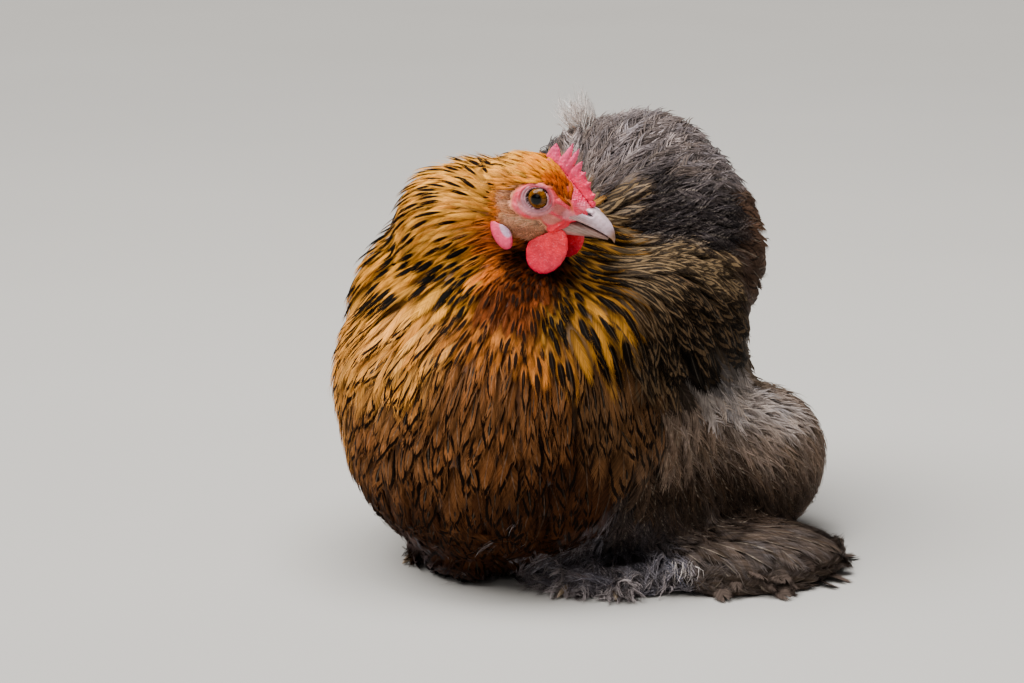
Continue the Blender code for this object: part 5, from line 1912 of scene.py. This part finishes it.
    def looks(self, roots: Roots) -> dict[str, Array]:
        """Each feather's colours and pattern, with its own small changes."""
        rng, blend = self.rng, self.plumage.blend
        sharp = self.sharpened(roots.weights, 1.5)
        count = len(roots.place)
        brightness = np.exp(rng.normal(0.0, 1.0, count).clip(-2, 2) * blend(sharp, "vary"))[:, None]
        ground = blend(roots.weights, "ground") * brightness
        marking = blend(sharp, "marking") * brightness**0.5
        warmth = 1.0 + rng.normal(0.0, 0.04, (count, 1)) * (1.0, 0.2, -1.0)
        pattern = blend(sharp, "pattern") * rng.uniform(0.75, 1.1, (count, 3)).clip(0, 1)
        pattern[:, :2] *= (roots.luck < blend(sharp, "marked"))[:, None]
        rings = blend(sharp, "rings") * rng.uniform(0.75, 1.25, count)
        shaft = blend(sharp, "shaft") * rng.uniform(0.5, 1.2, count).clip(0, 1)
        return {
            "ground": opaque(np.clip(self.mark_face(roots, ground) * warmth, 0.0, 1.0)),
            "marking": opaque(np.clip(marking, 0.0, 1.0)),
            "pattern": pattern,
            "detail": np.column_stack([shaft, rings, rng.random(count)]),
        }

    @staticmethod
    def mark_face(roots: Roots, ground: Array) -> Array:
        """Darker rust in a wedge over the eye and behind the head, on the crown's feathers, and painted shade
        on the lower cheek.
        """
        head = HEAD.to_head(roots.seen)
        side, on_head, cheek = head[:, SIDE], FACE.on_head(head), FACE.cheek(head)
        near = within(head, (38.0, 26.0, 34.0), 1.2, 0.9)
        wedge = blot(side, (4.6, 7.2), (8.6, 4.8), -30) * (on_head * (1.0 - cheek))
        nape = blot(side, (-21.0, -2.0), (6.5, 9.0), 10) * 0.45 * near
        # Painted shade on the lower cheek's bristles, under the face.
        under = cheek * on_head * ease(head[:, 2], -10.0, -15.0)
        layers = (wedge, (168, 70, 42)), (nape, (176, 84, 34)), (under, (190, 132, 104))
        return overlay(ground, *((mask * 0.85, screen) for mask, screen in layers))

    def build(self) -> list[Object]:
        """Grows all pieces of the coat."""
        return [*self.cover(), *self.loose_hairs(), *self.sprays()]

    def sprays(self) -> list[Object]:
        """Loose tufts that stand out of the coat: wisps on the cushion and fluff along the floor."""
        made = []
        for kind in dict.fromkeys(spray.kind for spray in SPRAYS):
            chosen = [spray for spray in SPRAYS if spray.kind is kind]
            roots = Roots.joined([self.spray_roots(spray) for spray in chosen])
            count = len(roots.place)
            brightness = np.exp(self.rng.normal(0.0, 0.18, (count, 1)))
            tone = np.concatenate([np.tile(s.colour, (s.count, 1)) for s in chosen]) * brightness
            ground = opaque(np.clip(tone, 0.0, 1.0))
            looks = {
                "ground": ground,
                "marking": ground,
                "pattern": np.zeros((count, 3)),
                "detail": np.column_stack([np.zeros(count), np.ones(count), self.rng.random(count)]),
            }
            made += self.pieces(f"spray_{kind.value}", kind, roots, looks, np.arange(count))
        return made

    def spray_roots(self, spray: Spray) -> Roots:
        """The roots and curves of one spray."""
        rng, count = self.rng, spray.count
        start = (np.array(spray.place) + rng.normal(0.0, spray.spread, (count, 3))) * MM
        place, normal, face = self.skin.nearest(start)
        way = unit(unit(np.array([spray.way])) + rng.normal(0.0, spray.stray, (count, 3)))
        length = spray.length * MM * rng.uniform(0.7, 1.2, count)[:, None]
        bend = self.along(rng.normal(0.0, 1.0, (count, 3)), way) * 0.28
        fall = np.array((0.0, 0.0, -spray.droop))
        steps = (0.0, 0.0), (0.35, 0.6), (0.72, 1.0), (1.0, 0.2)
        curve = [place + length * (way * t + bend * b * t + fall * t * t) for t, b in steps]
        for rows in curve:
            rows[:, 2] = np.maximum(rows[:, 2], self.FLOOR)
        side = self.along(normal + rng.normal(0.0, 0.3, (count, 3)), way)
        uv = self.skin.uv[face].mean(axis=1)
        roots = Roots(place, face, uv, self.plumage.weights(place), np.zeros(count, int))
        roots.bezier, roots.normals = curve, [side, side]
        roots.width = spray.width * MM * rng.uniform(0.7, 1.2, count)
        return roots

    def loose_hairs(self) -> list[Object]:
        """Fine single hairs over the vanes, which soften their outlines."""
        roots = self.scatter(self.LOOSE_SPREAD)
        self.lay(roots, longer=0.85, higher=0.6 * MM)
        looks = self.looks(roots)
        looks["pattern"] *= (0.0, 0.0, 0.6)
        looks["detail"][:, 0] = 0.0
        light = looks["ground"][:, :3].mean(axis=1, keepdims=True)
        share = self.rng.uniform(0.0, 0.12, (len(roots.place), 1)) * np.minimum(light * 4.0, 1.0)
        looks["ground"] += (self.LOOSE_PALE - looks["ground"]) * share
        roots.width *= 0.9
        chosen = self.chosen(roots, lambda region: region.name in self.LOOSE_OVER)
        return self.pieces("loose", Kind.STRAND, roots, looks, chosen)

    def chosen(self, roots: Roots, wanted: Callable[[Region], bool]) -> Array:
        """Which roots grow in the wanted regions."""
        mine = [i for i, region in enumerate(self.plumage.regions) if wanted(region)]
        return np.flatnonzero(np.isin(roots.region, mine))

    def cover(self) -> list[Object]:
        """Grows the feathers themselves, piece by piece in the regions' order."""
        roots = self.scatter()
        self.lay(roots)
        looks = self.looks(roots)
        made = []
        for piece in dict.fromkeys(r.piece for r in self.plumage.regions):
            for kind in dict.fromkeys(r.kind for r in self.plumage.regions if r.piece == piece):
                mine = self.chosen(roots, lambda region: region.piece == piece and region.kind is kind)
                if len(mine):
                    made += self.pieces(f"{piece}_{kind.value}", kind, roots, looks, mine)
        return made

    def pieces(
        self, name: str, kind: Kind, roots: Roots, looks: dict[str, Array], chosen: Array
    ) -> list[Object]:
        """Grows one piece, in slices across the body where it would hold too many faces.

        Args:
            name: The piece's name, without its number.
            kind: Which pattern it repeats.
            roots: All roots.
            looks: Their colours and patterns.
            chosen: The rows of the roots that belong to the piece.

        Returns:
            The slices.
        """
        pattern = self.patterns[kind].data
        pattern.calc_loop_triangles()
        each = len(pattern.loop_triangles)
        parts = max(1, math.ceil(len(chosen) * each / self.MOST_FACES))
        ordered = chosen[np.argsort(roots.place[chosen, 0], kind="stable")]
        softness = self.SOFTNESS[kind] * (self.SPRAY_SOFTNESS if name.startswith("spray") else 1.0)
        values = {
            **{f"shaft_{k}": rows for k, rows in enumerate(roots.bezier)},
            **{f"normal_{k}": rows for k, rows in enumerate(roots.normals)},
            "width": roots.width,
            "camber": np.full(len(roots.place), self.CAMBER[kind]),
            "root_uv": np.column_stack([roots.uv, np.zeros(len(roots.place))]),
            **looks,
        }
        made = []
        for number, share in enumerate(np.array_split(ordered, parts)):
            label = f"feathers_{name}" + (f"_{number + 1}" if parts > 1 else "")
            mesh = mesh_of(f"roots_{label}", roots.place[share], [])
            for attribute, rows in values.items():
                store(mesh, attribute, rows[share])
            piece = self.tree.grow(label, mesh, self.patterns[kind], self.finish, softness)
            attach(piece, "root")
            made.append(piece)
            LOG.info("%s: %d feathers, %d triangles", label, len(share), len(share) * each)
        return made


# ---- Pieces of the face, claws and studio ----


class Details:
    """Eyes, bill, comb, wattles, earlobes and claws."""

    COMB_VOXEL = 0.27 * MM
    CLAW_VOXEL = 0.45 * MM
    GRANULE = 1.3 * MM
    LOBE_GRANULE = 1.2 * MM

    def __init__(self, nodes: dict[str, Object], finishes: Finishes) -> None:
        """Keeps the solids and makes the small materials.

        Args:
            nodes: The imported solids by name.
            finishes: The materials.
        """
        self.nodes = nodes
        self.finishes = finishes
        # Colours of the painted highlights on the tops of the comb's and wattles' granules.
        comb_highlight, wattle_highlight = paint(252, 180, 196), paint(248, 150, 164)
        self.red = finishes.flesh("comb_flesh", 0.42, granule=1150.0, pale=comb_highlight, amount=0.42, wet=0.25)
        self.smooth_red = finishes.flesh(
            "wattle_flesh", 0.50, granule=1500.0, pale=wattle_highlight, amount=0.35, wet=0.15
        )
        self.beak = finishes.horn("bill_horn", 0.34)
        self.claw = finishes.horn("claw_horn", 0.42)
        self.eye = finishes.eye()

    def put(self, name: str, mesh: Mesh, material: Material, node: str) -> None:
        """Adds a finished piece in place of a solid."""
        piece = add_object(name, mesh, material)
        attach(piece, "root")
        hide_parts(node)
        LOG.info("%s: %d faces", name, len(mesh.polygons))

    def build(self) -> None:
        """Adds all the pieces."""
        ball, bill, soft = Eyeball(), Bill(), SoftFlesh()
        for side, sign in (("right", 1), ("left", -1)):
            name = f"eyeball_{side}"
            self.put(name, ball.mesh(name, sign), self.eye, f"eye_{side}")
        for side, mesh in (("upper", bill.upper_mesh()), ("lower", bill.lower_mesh())):
            self.put(f"bill_{side}", mesh, self.beak, f"beak_{side}")
        fine = SoftFlesh(voxel=self.COMB_VOXEL, smoothing=4)
        comb = fine.mesh("comb_flesh", self.nodes["comb"], self.GRANULE, 0.30 * MM)
        # Redder at the root and paler towards the tops of the points: painted light on the lit tops.
        soft.tint(comb, paint(242, 38, 88), paint(255, 100, 142), (7.0, 25.0))
        self.put("comb_flesh", comb, self.red, "comb")
        for side in ("left", "right"):
            name, node = f"wattle_flesh_{side}", f"wattle_{side}"
            wattle = soft.mesh(name, self.nodes[node], self.GRANULE, 0.22 * MM)
            soft.tint(wattle, paint(248, 26, 80), paint(228, 22, 60), (-30.0, -12.0))
            self.put(name, wattle, self.smooth_red, node)
            name, node = f"lobe_flesh_{side}", f"earlobe_{side}"
            lobe = soft.mesh(name, self.nodes[node], self.LOBE_GRANULE, 0.15 * MM)
            soft.lobe_tint(lobe)
            self.put(name, lobe, self.smooth_red, node)
        for name, node in self.nodes.items():
            if name.startswith("claw_"):
                self.claw_piece(name, node)

    def claw_piece(self, name: str, node: Object) -> None:
        """A smooth copy of one claw, pale at the root."""
        mesh = remeshed(name, [node.data], self.CLAW_VOXEL, 6)
        mesh.shade_smooth()
        share = ease(points_of(mesh)[:, 2], 0.0, 0.004)
        store_tint(mesh, between(paint(176, 158, 136), paint(120, 104, 88), share), 0.0)
        self.put(f"horn_{name}", mesh, self.claw, name)


@dataclass(frozen=True)
class Lamp:
    """One soft light: a disk, or a broad sun where the size is an angle in degrees."""

    name: str
    kind: str
    place: tuple[float, float, float]
    size: float
    power: float
    colour: Rgb = (1.0, 1.0, 1.0)

    def light(self) -> Light:
        """The light's data."""
        light = bpy.data.lights.new(self.name, self.kind)
        light.energy, light.color = self.power, self.colour
        if self.kind == "SUN":
            light.angle = math.radians(self.size)
        else:
            light.shape, light.size = "DISK", self.size
        return light


@dataclass(frozen=True)
class Studio:
    """Camera, lights, world and floor."""

    heading: float = math.radians(35)
    distance: float = 1.09
    shift: float = -0.018
    height: float = 0.34
    pitch: float = math.radians(13)
    lens: float = 90.88
    sensor: float = 36.0
    clip_start: float = 0.05
    floor: float = 6.0
    world: Rgb = (0.66, 0.655, 0.65)
    world_strength: float = 0.13
    aim: tuple[float, float, float] = (0.02, 0.0, 0.08)
    lamps: tuple[Lamp, ...] = (
        Lamp("key", "SUN", (-0.50, -0.45, 1.25), 50.0, 5.6, (1.0, 0.97, 0.93)),
        Lamp("overhead", "AREA", (0.05, 0.05, 1.35), 0.8, 18.0, (1.0, 0.98, 0.96)),
        Lamp("front", "AREA", (0.15, -1.30, 0.70), 0.7, 1.6, (1.0, 0.96, 0.92)),
    )

    def build(self, finishes: Finishes) -> None:
        """Adds them all to the scene."""
        scene = bpy.context.scene
        look = Vector((-math.sin(self.heading), math.cos(self.heading), 0.0))
        right = Vector((look.y, -look.x, 0.0))
        camera = bpy.data.objects.new("camera", bpy.data.cameras.new("camera"))
        camera.location = -look * self.distance + right * self.shift + Vector((0, 0, self.height))
        aim = look * math.cos(self.pitch) - Vector((0, 0, math.sin(self.pitch)))
        camera.rotation_euler = aim.to_track_quat("-Z", "Y").to_euler()
        camera.data.lens, camera.data.sensor_width = self.lens, self.sensor
        camera.data.clip_start = self.clip_start
        scene.collection.objects.link(camera)
        scene.camera = camera
        for lamp in self.lamps:
            holder = bpy.data.objects.new(lamp.name, lamp.light())
            holder.location = lamp.place
            aim = Vector(self.aim) - Vector(lamp.place)
            holder.rotation_euler = aim.to_track_quat("-Z", "Y").to_euler()
            scene.collection.objects.link(holder)
        world = bpy.data.worlds.new("studio")
        world.use_nodes = True
        background = world.node_tree.nodes["Background"]
        background.inputs["Color"].default_value = (*self.world, 1.0)
        background.inputs["Strength"].default_value = self.world_strength
        scene.world = world
        half = self.floor
        corners = np.array([(-half, -half, 0.0), (half, -half, 0.0), (half, half, 0.0), (-half, half, 0.0)])
        floor = add_object("floor", mesh_of("floor", corners, [(0, 1, 2, 3)]), finishes.studio_floor())


def main() -> None:
    """Builds the scene."""
    logging.basicConfig(level=logging.INFO, format="%(message)s")
    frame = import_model()
    nodes = frame["nodes"]
    finishes = Finishes()
    plumage = Plumage()
    skin = Skin(nodes, plumage, finishes)
    LOG.info("skin: %d faces", len(skin.obj.data.polygons))
    Details(nodes, finishes).build()
    coat = Coat(skin, plumage, finishes)
    pieces = coat.build()
    for pattern in coat.patterns.values():
        drop(pattern)
    LOG.info("coat: %d pieces", len(pieces))
    Studio().build(finishes)


if __name__ == "__main__":
    main()
